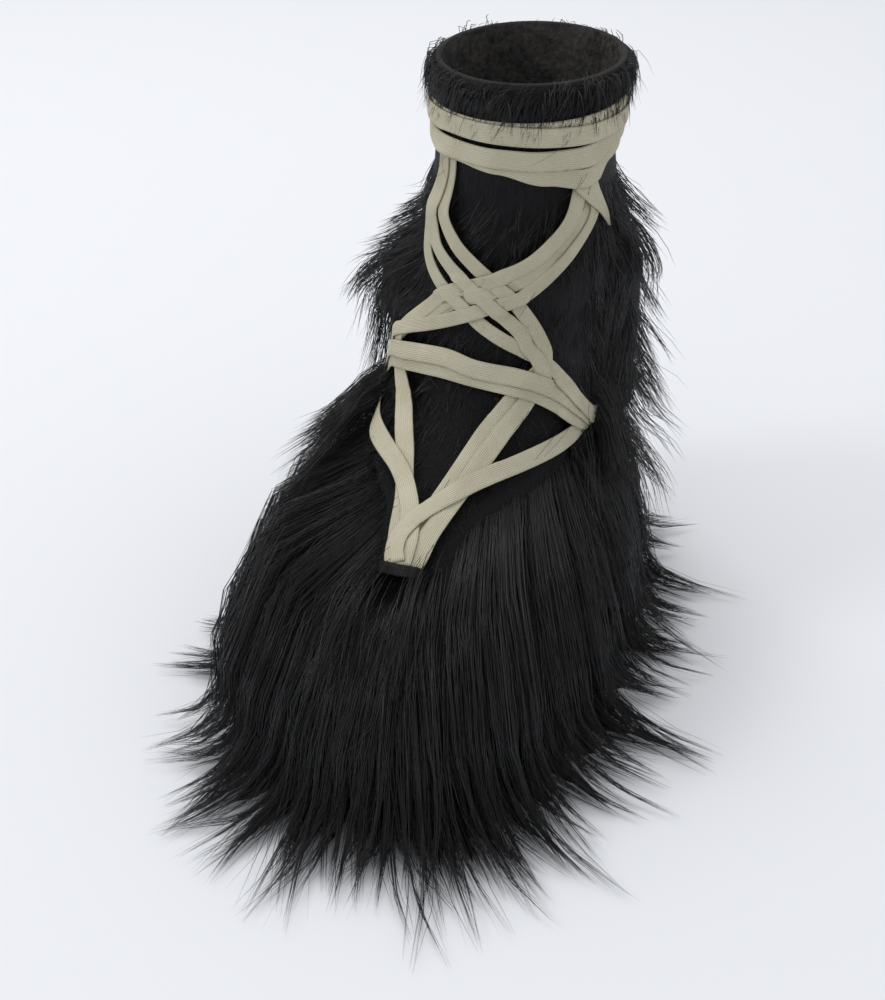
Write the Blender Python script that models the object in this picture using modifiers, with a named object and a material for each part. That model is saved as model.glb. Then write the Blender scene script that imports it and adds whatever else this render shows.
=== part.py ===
"""Long-haired winter boot with a wrapped tape lace, one left boot.

It stands on the XY plane with its toe towards -Y and its outer side towards +X.
The origin is the middle of the heel's flat spot. Lengths are in metres, angles in degrees.
Round the boot, angle 0 is the toe, 90 the outer side, 180 the heel and -90 the inner side.
A level tells a height: 0 is the feather line, 1 the throat, 2 the collar.
"""
import math
import random
from collections import namedtuple

import bmesh
import bpy
from mathutils import Vector
from mathutils.geometry import delaunay_2d_cdt

NAME = "fur_boot"

# Driving sizes of the last
SOLE_LENGTH = 0.272
BALL_WIDTH = 0.112
HEEL_BACK = 0.045
FEATHER = 0.032
THROAT = 0.150
BOOT_HEIGHT = 0.325
SHAFT_WIDTH = 0.098
SHAFT_DEPTH = 0.118
SHAFT_Y = -0.0115
TOE_BEND = 0.009
TOE_SPRING = 0.009

# Walls and clearances
UPPER_WALL = 0.003
CLEARANCE = 0.0003
PELT_GAP = 0.0008
LACE_GAP = 0.0019

# Sole unit and insole
WELT = 0.0025
SOLE_CHAMFER = 0.0025
STEP_DEPTH = 0.0014
RIB_DEPTH = 0.0008
ARCH_RISE = 0.007
ARCH_FROM = 0.29
ARCH_TO = 0.55
TOE_LIFT = 0.010
TOE_LIFT_FROM = 0.82
GROOVE_PITCH = 0.012
GROOVE_WIDTH = 0.0036
GROOVE_DEPTH = 0.0035
HEEL_GROOVES = 5
FOREFOOT_GROOVES = 6
FOREFOOT_MIDDLE = 0.68
GROOVE_SLANT = 0.5
INSOLE_THICKNESS = 0.005
SOLE_COLUMNS = 56
SOLE_ROWS = (
    # height share, outset, ribs
    (0.00, WELT - SOLE_CHAMFER, 0),
    (0.10, WELT, 1),
    (0.42, WELT, 1),
    (0.46, WELT - STEP_DEPTH, 0),
    (0.56, WELT - STEP_DEPTH, 0),
    (0.60, WELT, 0),
    (1.00, WELT, 0),
)

# Pelt
SHORT_PILE = 0.007
FLANK_PILE = 0.015
DEEP_PILE = 0.040
FOOT_PILE = 0.045
FLOOR_REACH = 0.106
FLOOR_CLEARANCE = 0.0018
HEM_SLOPE = 0.6
HEM_GAP = 0.0026
HEM_HANG = 0.016
FOOT_LOCKS = 21
SHAFT_LOCKS = 13

# Lace and its loops
TAPE_WIDTH = 0.0116
TAPE_THICKNESS = 0.0016
LAYER_SHARE = 0.6
MOST_LAYERS = 3
WRAP_THICKNESS = 0.0026
LOOP_BAND = 0.007
LOOP_THICKNESS = 0.0014
LOOP_OPENING = 0.0150
LOOP_ROOM = 0.0066
LOOP_SHOULDER = 0.75
LOOP_ROUND = 0.003

# Sections of the foot. Front, back and width are shares of the sole's length and the ball.
FOOT_SECTIONS = (
    # level, front, back, width, squareness, heel ratio
    (0.00, 0.985, 0.010, 0.930, 2.45, 0.80),
    (0.14, 1.005, -0.002, 1.000, 2.45, 0.82),
    (0.32, 0.995, -0.002, 1.000, 2.40, 0.83),
    (0.48, 0.945, 0.004, 0.960, 2.30, 0.86),
    (0.60, 0.872, 0.008, 0.900, 2.20, 0.90),
    (0.70, 0.775, 0.010, 0.860, 2.15, 0.94),
    (0.80, 0.675, 0.010, 0.840, 2.10, 0.97),
    (0.90, 0.585, 0.008, 0.830, 2.05, 1.00),
    (1.00, 0.522, 0.004, 0.835, 2.00, 1.00),
)
# Sections of the shaft. Front and back are shares of half its depth, the rest of its width.
SHAFT_SECTIONS = (
    # level, front, back, width, shift
    (1.20, 1.15, 0.96, 0.950, 0.00),
    (1.37, 1.04, 0.98, 0.955, 0.01),
    (1.57, 1.00, 1.00, 0.960, 0.03),
    (1.77, 0.985, 1.02, 0.960, 0.04),
    (2.00, 1.00, 1.06, 1.010, 0.04),
)
Section = namedtuple("Section", "height front back half shift square heel")
HEEL_RUN = 0.62
BEND_FROM = 0.35
SPRING_FROM = 0.72
LEVEL_OUT_BELOW = 0.15
LEVEL_OUT_RUN = 0.35

UPPER_COLUMNS = 32
UPPER_LEVELS = (
    0.0, 0.08, 0.17, 0.26, 0.35, 0.43, 0.50, 0.56, 0.62, 0.70, 0.80, 0.88,
    0.94, 0.99, 1.03, 1.08, 1.14, 1.23, 1.40, 1.65, 2.0,
)

# Root line of the foot's pelt, as levels round the boot
ROOT_LINE = ((0, 0.55), (45, 0.66), (90, 0.72), (135, 0.79), (180, 0.83))

# Outer face of the foot's pelt. Lifts are shares of the foot's pile.
FOOT_PELT_ROWS = (
    # drop, lift in front, lift at the sides
    (0.00, 0.02, 0.02),
    (0.05, 0.16, 0.17),
    (0.13, 0.42, 0.48),
    (0.24, 0.66, 0.86),
    (0.38, 0.86, 1.00),
    (0.52, 0.97, 1.04),
    (0.66, 1.04, 1.08),
    (0.80, 1.12, 1.16),
)
# Flutes between the foot's locks and the swing of their tips grow over these drops
FLUTE_FROM = 0.13
FLUTE_RUN = 0.5
SWING_FROM = 0.5
# Lower ends of the locks: valley, shoulder, tip, shoulder
LOCK_COLUMNS = (
    # flute depth, reach, tip height as a share of the feather height, share of the swing
    (0.17, 0.00, 0.42, 0.0),
    (0.05, 0.55, 0.20, 0.5),
    (0.00, 1.00, 0.00, 1.0),
    (0.05, 0.48, 0.24, 0.5),
)
# A lock's end, from its bulge to its tip and back under the pelt
VALLEY_REACH = 0.98
NEAR_SHARE = 0.62
NEAR_RISE = 0.06
NEAR_RISE_TIP = 0.10
UNDER_HEIGHT = 0.10
UNDER_SHARE = 0.72
SOLE_GAP_HEIGHT = 0.40
FOOT_INNER_ROWS = (0.0, 0.14, 0.32, 0.52, 0.70, 0.86, 1.0)

# Thickness of the shaft's pelt, as shares of the short and the deep pile
SHAFT_PILE_ROWS = (
    # level, short share, deep share, deep share on the inner side
    (0.40, 1.00, 1.32, 1.32),
    (0.79, 1.00, 1.12, 1.12),
    (1.00, 1.00, 1.02, 1.05),
    (1.14, 1.00, 0.94, 1.16),
    (1.29, 1.00, 0.80, 1.20),
    (1.43, 1.00, 0.60, 0.70),
    (1.54, 1.00, 0.40, 0.28),
    (1.63, 0.85, 0.22, 0.18),
    (1.70, 0.52, 0.10, 0.10),
    (1.88, 0.52, 0.10, 0.10),
    (1.94, 0.90, 0.18, 0.18),
    (2.00, 1.10, 0.22, 0.22),
)
# Angle at which the deep pile starts, by level. On the inner side it swells out above the lace's loop.
DEEP_START = ((0.9, 100.0), (1.2, 90.0), (1.4, 78.0), (1.7, 76.0))
INNER_START = ((1.02, 100.0), (1.12, 84.0), (1.24, 64.0), (1.38, 54.0), (1.7, 54.0))
INNER_RUN = 50.0
DEEP_RUN = 26.0
# The inner flank's longer pile: where it starts, and where it ends up the shaft
FLANK_START = 28.0
FLANK_RUN = 38.0
FLANK_TOP_LEVEL = 1.5
FLANK_FADE = 0.3
SHAFT_TOP_LEVEL = 1.97
# Locks of the shaft's pelt
FRONT_FLUTE = 0.55
FLUTE_FULL_AT = 0.5
FLARE = 0.10
FLARE_FROM = 0.7
HEM_FLARE = 0.16
HANG_FROM = 0.7
SHORT_HANG = 0.4
HEM_RETURN = (0.86, 0.45)
HEM_FLUTE = 0.8
SHAFT_ROWS = (
    0.0, 0.04, 0.13, 0.18, 0.24, 0.335, 0.448, 0.546, 0.614, 0.668, 0.713, 0.753, 0.79, 0.83, 0.90, 1.0,
)
SHAFT_INNER_ROWS = (0.0, 0.12, 0.22, 0.33, 0.58, 1.0)

# Wrap of the lace round the shaft: lower edge by angle, then the bands' steps
WRAP_EDGE = (
    (-180, 1.745), (-90, 1.765), (-30, 1.760), (0, 1.743), (30, 1.709),
    (50, 1.692), (75, 1.730), (120, 1.750), (180, 1.745),
)
WRAP_HEIGHT = 0.030
WRAP_COLUMNS = 40
WRAP_ROOM_TO = 70.0
WRAP_ROOM_RUN = 25.0
WRAP_PROFILE = (
    # height share, lift share of the wrap's thickness
    (0.00, 0.75), (0.34, 1.00), (0.36, 0.62), (0.67, 0.92), (0.70, 0.70), (1.00, 0.85),
)

# Routes of the tapes on the boot, points chosen by hand as angle and level
STRAPS = {
    "inner_arm": ((-5, 0.665), (-9, 0.754), (-26, 0.805), (-59, 0.822), (-84, 0.85)),
    "inner_riser": (
        (-4, 0.675), (-7, 0.74), (-12, 0.788), (-26, 0.856), (-41, 0.932), (-49, 1.069),
        (-50, 1.16), (-45, 1.217), (-30, 1.314), (-20, 1.371), (4, 1.440), (21, 1.491),
        (34, 1.560), (43, 1.623), (48, 1.680), (52, 1.745)),
    "outer_riser_a": (
        (-1, 0.665), (3, 0.712), (4, 0.771), (9, 0.856), (16, 0.966), (27, 1.086),
        (35, 1.149), (38, 1.189), (34, 1.240), (26, 1.309), (15, 1.383), (4, 1.434),
        (-7, 1.480), (-19, 1.531), (-29, 1.600), (-32, 1.680), (-33, 1.780)),
    "outer_riser_b": (
        (1, 0.675), (7, 0.70), (9, 0.763), (16, 0.847), (24, 0.958), (33, 1.074),
        (36, 1.137), (33, 1.183), (27, 1.223), (21, 1.280), (7, 1.349), (-6, 1.406),
        (-21, 1.457), (-32, 1.509), (-37, 1.589), (-37, 1.657), (-38, 1.780)),
    "outer_arm": (
        (-6, 0.675), (2, 0.737), (12, 0.788), (25, 0.831), (41, 0.856), (62, 0.864), (84, 0.865)),
    "cross_high": (
        (-84, 0.90), (-72, 1.03), (-54, 1.114), (-20, 1.166), (1, 1.154), (25, 1.131),
        (45, 1.074), (66, 0.98), (84, 0.89)),
    "cross_low": (
        (-84, 0.87), (-72, 0.98), (-55, 1.074), (-23, 1.126), (1, 1.126), (25, 1.097),
        (45, 1.040), (66, 0.94), (84, 0.86)),
    "outer_long": (
        (84, 0.90), (66, 1.02), (55, 1.091), (36, 1.177), (13, 1.251), (0, 1.297), (-12, 1.349),
        (-26, 1.389), (-39, 1.463), (-41, 1.560), (-42, 1.660), (-43, 1.780)),
    "inner_long": (
        (-84, 0.93), (-72, 1.08), (-53, 1.177), (-12, 1.303), (5, 1.354), (20, 1.389),
        (34, 1.457), (46, 1.531), (57, 1.623), (62, 1.740)),
    "inner_short": (
        (-52, 1.16), (-40, 1.240), (-24, 1.314), (-6, 1.377), (10, 1.417), (24, 1.451),
        (39, 1.526), (48, 1.594), (54, 1.657), (57, 1.740)),
    "tucked_end": ((54, 1.745), (66, 1.67), (80, 1.605)),
}
TAPE_STEP = 0.0135
FLAT_SCALE = 0.001
JOIN_DISTANCE = 0.00002

# Short stacks of tape that pass under the loops
STACKS = {
    "toe": ((-3, 0.70), (-3, 0.585)),
    "outer": ((80, 0.878), (98, 0.845)),
    "inner": ((-80, 0.888), (-98, 0.845)),
}
STACK_WIDTH = 0.0121
LOOPS = {
    # name: angle, level, across turned upright
    "loop_toe": (-3, 0.620, False),
    "loop_outer": (92, 0.856, True),
    "loop_inner": (-92, 0.856, True),
}

COLOURS = {
    # material: colour, roughness, metallic
    "rubber": ((0.012, 0.012, 0.013), 0.62, 0.0),
    "board": ((0.030, 0.028, 0.026), 0.85, 0.0),
    "skin": ((0.022, 0.020, 0.019), 0.70, 0.0),
    "hair": ((0.008, 0.008, 0.009), 0.45, 0.0),
    "tape": ((0.50, 0.47, 0.37), 0.88, 0.0),
    "webbing": ((0.010, 0.010, 0.011), 0.80, 0.0),
}


def clamp(value):
    return min(max(value, 0.0), 1.0)


def ease(value):
    """Smooth step from 0 to 1."""
    value = clamp(value)
    return value * value * (3 - 2 * value)


def mix(start, end, share):
    return start + (end - start) * share


def table(rows, place, column=1):
    """Read a column of a table of rows at a place, with eased steps between the rows."""
    if place <= rows[0][0]:
        return rows[0][column]
    for low, high in zip(rows, rows[1:]):
        if place <= high[0]:
            return mix(low[column], high[column], ease((place - low[0]) / (high[0] - low[0])))
    return rows[-1][column]


def height(level):
    """Height of a level above the floor."""
    if level <= 1:
        return mix(FEATHER, THROAT, level)
    return mix(THROAT, BOOT_HEIGHT, level - 1)


def level_of(z):
    if z <= THROAT:
        return (z - FEATHER) / (THROAT - FEATHER)
    return 1 + (z - THROAT) / (BOOT_HEIGHT - THROAT)


def all_sections():
    """The sections of foot and shaft as real sizes, lowest first."""
    sections = []
    for level, front, back, width, square, heel in FOOT_SECTIONS:
        sections.append(Section(
            height(level), HEEL_BACK - front * SOLE_LENGTH, HEEL_BACK - back * SOLE_LENGTH,
            width * BALL_WIDTH / 2, 0.0, square, heel))
    for level, front, back, width, shift in SHAFT_SECTIONS:
        sections.append(Section(
            height(level), SHAFT_Y - front * SHAFT_DEPTH / 2, SHAFT_Y + back * SHAFT_DEPTH / 2,
            width * SHAFT_WIDTH / 2, shift * SHAFT_WIDTH, 2.0, 1.0))
    return sections


SECTIONS = all_sections()


def slope_between(low, high):
    return [(b - a) / (high.height - low.height) for a, b in zip(low, high)]


def section_slopes():
    """Slope of each value at each section, the mean of the slopes on its two sides."""
    between = [slope_between(low, high) for low, high in zip(SECTIONS, SECTIONS[1:])]
    inner = [[(a + b) / 2 for a, b in zip(low, high)] for low, high in zip(between, between[1:])]
    return [between[0]] + inner + [between[-1]]


SLOPES = section_slopes()


def section_at(z):
    """The section at a height, on a smooth curve through the tabled ones."""
    z = min(max(z, SECTIONS[0].height), SECTIONS[-1].height)
    index = 0
    while index < len(SECTIONS) - 2 and z > SECTIONS[index + 1].height:
        index += 1
    low, high = SECTIONS[index], SECTIONS[index + 1]
    span = high.height - low.height
    t = (z - low.height) / span
    keep_low = 2 * t ** 3 - 3 * t ** 2 + 1
    turn_low = (t ** 3 - 2 * t ** 2 + t) * span
    turn_high = (t ** 3 - t ** 2) * span
    values = []
    for a, b, m, n in zip(low, high, SLOPES[index], SLOPES[index + 1]):
        values.append(keep_low * a + turn_low * m + (1 - keep_low) * b + turn_high * n)
    return Section(*values)


def length_share(y):
    """How far along the sole a point is, 0 at the heel end and 1 at the toe."""
    return clamp((HEEL_BACK - y) / SOLE_LENGTH)


def spring(y):
    """Rise of the feather line towards the toe."""
    return TOE_SPRING * ease((length_share(y) - SPRING_FROM) / (1 - SPRING_FROM))


def signed_power(value, power):
    return math.copysign(abs(value) ** power, value)


def skin(angle, z):
    """A point on the outside of the upper."""
    here = section_at(z)
    turn = math.radians(angle)
    across = signed_power(math.sin(turn), 2 / here.square)
    along = -signed_power(math.cos(turn), 2 / here.square)
    y = (here.front + here.back) / 2 + (here.back - here.front) / 2 * along
    from_heel = (here.back - y) / (here.back - here.front)
    width = here.half * mix(here.heel, 1, ease(from_heel / HEEL_RUN))
    bend = TOE_BEND * ease((length_share(y) - BEND_FROM) / (1 - BEND_FROM))
    return Vector((width * across - bend + here.shift, y, z + spring(y) * (1 - clamp(level_of(z)))))


def outward(angle, z):
    """Direction out of the skin, laid level near the sole."""
    turn = 0.5
    rise = 0.002 * (THROAT - FEATHER)
    round_way = skin(angle + turn, z) - skin(angle - turn, z)
    up_way = skin(angle, z + rise) - skin(angle, max(z - rise, FEATHER))
    way = round_way.cross(up_way).normalized()
    way.z = max(way.z, 0) * ease((level_of(z) - LEVEL_OUT_BELOW) / LEVEL_OUT_RUN)
    return way.normalized()


def over(angle, z, lift):
    """A point that far off the skin. Below the feather line it stays outside the sole's edge."""
    if z >= FEATHER:
        return skin(angle, z) + outward(angle, z) * lift
    edge = skin(angle, FEATHER)
    point = edge + outward(angle, FEATHER) * lift
    point.z = z + (edge.z - FEATHER) * z / FEATHER
    return point


def root_height(angle):
    """Height of the line where the foot's pelt parts from the shaft's."""
    return height(table(ROOT_LINE, abs(wrap_angle(angle))))


def wrap_angle(angle):
    return (angle + 180) % 360 - 180


def deepness(angle, z):
    """Share of the deep pile at a place of the shaft: 0 in front, 1 at the side and the back."""
    rows = INNER_START if wrap_angle(angle) < 0 else DEEP_START
    return ease((abs(wrap_angle(angle)) - table(rows, level_of(z))) / DEEP_RUN)


def innerness(angle):
    """1 on the inner side, 0 on the outer side and at the heel."""
    angle = wrap_angle(angle)
    return ease(-angle / INNER_RUN) * ease((angle + 180) / INNER_RUN)


def shaft_pile(angle, z):
    """Thickness of the shaft's pelt."""
    level = level_of(z)
    flank = ease((-wrap_angle(angle) - FLANK_START) / FLANK_RUN)
    flank *= ease((FLANK_TOP_LEVEL - level) / FLANK_FADE)
    short = mix(SHORT_PILE, FLANK_PILE, flank) * table(SHAFT_PILE_ROWS, level, 1)
    deep_share = mix(table(SHAFT_PILE_ROWS, level, 2), table(SHAFT_PILE_ROWS, level, 3), innerness(angle))
    return mix(short, DEEP_PILE * deep_share, deepness(angle, z))


def make_material(name):
    colour, roughness, metallic = COLOURS[name]
    material = bpy.data.materials.new(name)
    material.use_nodes = True
    shader = material.node_tree.nodes["Principled BSDF"]
    shader.inputs["Base Color"].default_value = (*colour, 1)
    shader.inputs["Roughness"].default_value = roughness
    shader.inputs["Metallic"].default_value = metallic
    material.diffuse_color = (*colour, 1)
    return material


def add_object(name, mesh_builder, collection, material=None):
    """Make an object of a bmesh, with its faces turned outwards."""
    bmesh.ops.recalc_face_normals(mesh_builder, faces=mesh_builder.faces)
    mesh = bpy.data.meshes.new(name)
    mesh_builder.to_mesh(mesh)
    mesh_builder.free()
    thing = bpy.data.objects.new(name, mesh)
    collection.objects.link(thing)
    if material:
        mesh.materials.append(material)
        mesh.shade_smooth()
        mesh.set_sharp_from_angle(angle=math.radians(35))
    return thing


def bridge(build, first, second, closed):
    """Faces between two rows of vertices."""
    count = len(first)
    for i in range(count if closed else count - 1):
        j = (i + 1) % count
        build.faces.new((first[i], first[j], second[j], second[i]))


def ring_solid(name, columns, collection, material):
    """A closed ring from profile loops that stand round the boot."""
    build = bmesh.new()
    loops = [[build.verts.new(point) for point in column] for column in columns]
    for loop, following in zip(loops, loops[1:] + loops[:1]):
        bridge(build, loop, following, closed=True)
    return add_object(name, build, collection, material)


def slab(name, rings, collection, material):
    """A closed slab from stacked rings, its top and bottom laid across from side to side."""
    build = bmesh.new()
    rows = [[build.verts.new(point) for point in ring] for ring in rings]
    for low, high in zip(rows, rows[1:]):
        bridge(build, low, high, closed=True)
    for row in (rows[0], rows[-1]):
        count = len(row)
        for i in range(count // 2):
            corners = [row[i], row[i + 1], row[-i - 1], row[-i]]
            if i == 0:
                corners = [row[0], row[1], row[-1]]
            elif i == count // 2 - 1:
                corners = [row[i], row[i + 1], row[i + 2]]
            build.faces.new(corners)
    return add_object(name, build, collection, material)


def band_solid(name, stations, collection, material=None):
    """A closed band from rectangles of four corners."""
    build = bmesh.new()
    loops = [[build.verts.new(corner) for corner in corners] for corners in stations]
    for loop, following in zip(loops, loops[1:]):
        bridge(build, loop, following, closed=True)
    build.faces.new(loops[0])
    build.faces.new(loops[-1])
    return add_object(name, build, collection, material)


def combine(thing, other, operation):
    """Boolean of two objects, applied, with the second one removed."""
    modifier = thing.modifiers.new("combine", "BOOLEAN")
    modifier.operation = operation
    modifier.solver = "EXACT"
    modifier.object = other
    bpy.context.view_layer.update()
    evaluated = thing.evaluated_get(bpy.context.evaluated_depsgraph_get())
    result = bpy.data.meshes.new_from_object(evaluated)
    thing.modifiers.remove(modifier)
    old = thing.data
    thing.data = result
    bpy.data.meshes.remove(old)
    bpy.data.objects.remove(other)


def round_angles(count):
    return [360 * i / count for i in range(count)]


def sole_bottom(y):
    """Height of the sole's underside: flat heel and forefoot, arch between, toe sprung."""
    share = length_share(y)
    arch = clamp((share - ARCH_FROM) / (ARCH_TO - ARCH_FROM))
    toe = ease((share - TOE_LIFT_FROM) / (1 - TOE_LIFT_FROM))
    return ARCH_RISE * math.sin(math.pi * arch) ** 2 + TOE_LIFT * toe


def sole_edge(angle, outset):
    """Plan point of the sole's side, that far outside the feather line."""
    return skin(angle, FEATHER) + outward(angle, FEATHER) * outset


def sole_ring(share, outset, ribs):
    ring = []
    for index, angle in enumerate(round_angles(SOLE_COLUMNS)):
        rib = RIB_DEPTH * ribs * (index % 2)
        point = sole_edge(angle, outset - rib)
        top = FEATHER + spring(point.y) - CLEARANCE
        point.z = mix(sole_bottom(point.y), top, share)
        ring.append(point)
    return ring


def groove(y, slant):
    """A tread channel across the sole, bent in the middle by the slant."""
    half, reach = GROOVE_WIDTH / 2, BALL_WIDTH
    outline = [
        (-reach, y - half + slant), (0, y - half), (reach, y - half + slant),
        (reach, y + half + slant), (0, y + half), (-reach, y + half + slant),
    ]
    return outline


def cutter(name, outline, low, high, collection):
    build = bmesh.new()
    bottom = [build.verts.new((x, y, low)) for x, y in outline]
    top = [build.verts.new((x, y, high)) for x, y in outline]
    bridge(build, bottom, top, closed=True)
    build.faces.new(bottom)
    build.faces.new(top)
    return add_object(name, build, collection)


def groove_steps(count):
    """Distances of a row of grooves from its middle."""
    return [(index - (count - 1) / 2) * GROOVE_PITCH for index in range(count)]


def make_outsole(collection, cutters, material):
    rings = [sole_ring(*row) for row in SOLE_ROWS]
    outsole = slab("outsole", rings, collection, material)
    heel = -0.5 * GROOVE_PITCH
    forefoot = HEEL_BACK - FOREFOOT_MIDDLE * SOLE_LENGTH
    places = [(heel + step, 0.0) for step in groove_steps(HEEL_GROOVES)]
    places += [(forefoot + step, GROOVE_SLANT * GROOVE_PITCH) for step in groove_steps(FOREFOOT_GROOVES)]
    for y, slant in places:
        tool = cutter("groove", groove(y, slant), -GROOVE_DEPTH, GROOVE_DEPTH, cutters)
        combine(outsole, tool, "DIFFERENCE")
    return outsole


def make_insole(collection, material):
    rings = []
    for up in (CLEARANCE, CLEARANCE + INSOLE_THICKNESS):
        ring = []
        for angle in round_angles(UPPER_COLUMNS):
            inset = UPPER_WALL + 2 * CLEARANCE
            point = skin(angle, FEATHER) - outward(angle, FEATHER) * inset
            point.z = FEATHER + spring(point.y) + up
            ring.append(point)
        rings.append(ring)
    return slab("insole", rings, collection, material)


def make_upper(collection, material):
    """The hollow upper: an open loft over the last, with its wall laid inwards."""
    build = bmesh.new()
    rows = []
    for level in UPPER_LEVELS:
        z = height(level)
        rows.append([build.verts.new(skin(angle, z)) for angle in round_angles(UPPER_COLUMNS)])
    for low, high in zip(rows, rows[1:]):
        bridge(build, low, high, closed=True)
    upper = add_object("upper", build, collection, material)
    wall = upper.modifiers.new("wall", "SOLIDIFY")
    wall.thickness = UPPER_WALL
    wall.offset = -1
    wall.use_rim = True
    return upper


def foot_lock_column(angle, kind, lock):
    """Profile loop of the foot's pelt at one angle."""
    flute, reach, tip_share, swing_share = LOCK_COLUMNS[kind]
    root = root_height(angle) - HEM_GAP / 2
    side = deepness(angle, root)
    tip_z = FLOOR_CLEARANCE + tip_share * FEATHER * lock["lift"]
    swing = lock["swing"] * swing_share
    column = []
    for drop, front_lift, side_lift in FOOT_PELT_ROWS:
        fade = ease((drop - FLUTE_FROM) / FLUTE_RUN)
        lift = mix(front_lift, side_lift, side) * FOOT_PILE * (1 - flute * lock["flute"] * fade)
        turned = angle + swing * ease((drop - SWING_FROM) / (1 - SWING_FROM))
        column.append(over(turned, mix(root, tip_z, drop), max(lift, 2 * PELT_GAP)))
    far = mix(FOOT_PILE * VALLEY_REACH, FLOOR_REACH, reach * lock["reach"])
    near = mix(FOOT_PILE * VALLEY_REACH, far, NEAR_SHARE)
    rise = (NEAR_RISE + NEAR_RISE_TIP * reach) * FEATHER
    column.append(over(angle + swing, tip_z + rise, near))
    column.append(over(angle + swing, tip_z, far))
    under = max(tip_z, UNDER_HEIGHT * FEATHER)
    column.append(over(angle + swing / 2, under, mix(WELT, near, UNDER_SHARE)))
    for z in (SOLE_GAP_HEIGHT * FEATHER, FEATHER + PELT_GAP):
        column.append(over(angle, z, WELT + PELT_GAP))
    for share in FOOT_INNER_ROWS:
        z = mix(FEATHER + 2 * PELT_GAP, root - PELT_GAP, share)
        column.append(over(angle, z, PELT_GAP))
    return column


def make_fur_foot(collection, material):
    chance = random.Random(11)
    columns = []
    for index in range(FOOT_LOCKS):
        lock = {
            "reach": chance.uniform(0.72, 1.06), "flute": chance.uniform(0.7, 1.25),
            "lift": chance.uniform(0.8, 1.2), "swing": chance.uniform(-2.6, 2.6),
        }
        for kind in range(len(LOCK_COLUMNS)):
            angle = 360 * (index + kind / len(LOCK_COLUMNS)) / FOOT_LOCKS
            columns.append(foot_lock_column(angle, kind, lock))
    return ring_solid("fur_foot", columns, collection, material)


def shaft_lock_column(angle, kind, lock):
    """Profile loop of the shaft's pelt at one angle, from the collar down to the hem and back."""
    flute, hem_reach = LOCK_COLUMNS[kind][:2]
    root = root_height(angle) + HEM_GAP / 2
    top = height(SHAFT_TOP_LEVEL)
    side = deepness(angle, root)
    hang_share = mix(SHORT_HANG, 1, hem_reach * lock["reach"])
    hang = ease((side - HANG_FROM) / (1 - HANG_FROM)) * HEM_HANG * hang_share
    hem_lift = shaft_pile(angle, root)
    hem_z = root - HEM_SLOPE * hem_lift - hang
    column = []
    for share in SHAFT_ROWS:
        z = mix(top, hem_z, share)
        depth = 1 - flute * lock["flute"] * mix(FRONT_FLUTE, 1, side) * ease(share / FLUTE_FULL_AT)
        flare = 1 + FLARE * hem_reach * side * ease((share - FLARE_FROM) / (1 - FLARE_FROM))
        column.append(over(angle, z, shaft_pile(angle, z) * depth * flare))
    column[-1] = over(angle, hem_z, hem_lift * (1 + HEM_FLARE * hem_reach * side))
    for share in HEM_RETURN:
        lift = hem_lift * share * (1 - HEM_FLUTE * flute * side)
        column.append(over(angle, root - HEM_SLOPE * lift, lift))
    for share in SHAFT_INNER_ROWS:
        column.append(over(angle, mix(root, top, share), PELT_GAP))
    return column


def make_fur_shaft(collection, material):
    chance = random.Random(23)
    columns = []
    for index in range(SHAFT_LOCKS):
        lock = {"reach": chance.uniform(0.6, 1.1), "flute": chance.uniform(0.7, 1.2)}
        for kind in range(len(LOCK_COLUMNS)):
            angle = 360 * (index + kind / len(LOCK_COLUMNS)) / SHAFT_LOCKS
            columns.append(shaft_lock_column(angle, kind, lock))
    return ring_solid("fur_shaft", columns, collection, material)


def lace_bed(angle, z):
    """Height of the pelt under a tape's whole width."""
    turn = math.degrees(0.5 * TAPE_WIDTH / (SHAFT_WIDTH / 2))
    rise = 0.5 * TAPE_WIDTH
    beds = [shaft_pile(angle + side * turn, z) for side in (-1, 0, 1)]
    beds += [shaft_pile(angle, z + side * rise) for side in (-1, 1)]
    return max(beds)


def route_points(points):
    """Angles and heights along a route, on a smooth curve through its points."""
    places = [Vector((angle, height(level))) for angle, level in points]
    ends = [2 * places[0] - places[1]] + places + [2 * places[-1] - places[-2]]
    route = []
    for before, start, end, after in zip(ends, ends[1:], ends[2:], ends[3:]):
        reach = (over(*end, 0.0) - over(*start, 0.0)).length
        steps = max(1, round(reach / TAPE_STEP))
        for step in range(steps):
            t = step / steps
            bend = (end - before) * t + (2 * before - 5 * start + 4 * end - after) * t ** 2
            bend += (3 * start - before - 3 * end + after) * t ** 3
            route.append(start + bend * 0.5)
    route.append(places[-1])
    return route


def plane_step(angle, z, way):
    """Steps in angle and height that move a point on the skin along a direction."""
    turn, rise = 1.0, 0.001
    by_turn = (skin(angle + turn, z) - skin(angle - turn, z)) / (2 * turn)
    by_rise = (skin(angle, z + rise) - skin(angle, z - rise)) / (2 * rise)
    tt, rr, tr = by_turn.dot(by_turn), by_rise.dot(by_rise), by_turn.dot(by_rise)
    a, b = by_turn.dot(way), by_rise.dot(way)
    scale = tt * rr - tr * tr
    return (a * rr - b * tr) / scale, (b * tt - a * tr) / scale


def tape_edges(points, width):
    """Left and right edges of a tape along a route, as angles and heights."""
    route = route_points(points)
    middles = [over(angle, z, 0.0) for angle, z in route]
    edges = []
    for index, (angle, z) in enumerate(route):
        ahead = middles[min(index + 1, len(middles) - 1)]
        behind = middles[max(index - 1, 0)]
        side = outward(angle, z).cross(ahead - behind).normalized() * width / 2
        turn, rise = plane_step(angle, z, side)
        edges.append(((angle - turn, z - rise), (angle + turn, z + rise)))
    return edges


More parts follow.
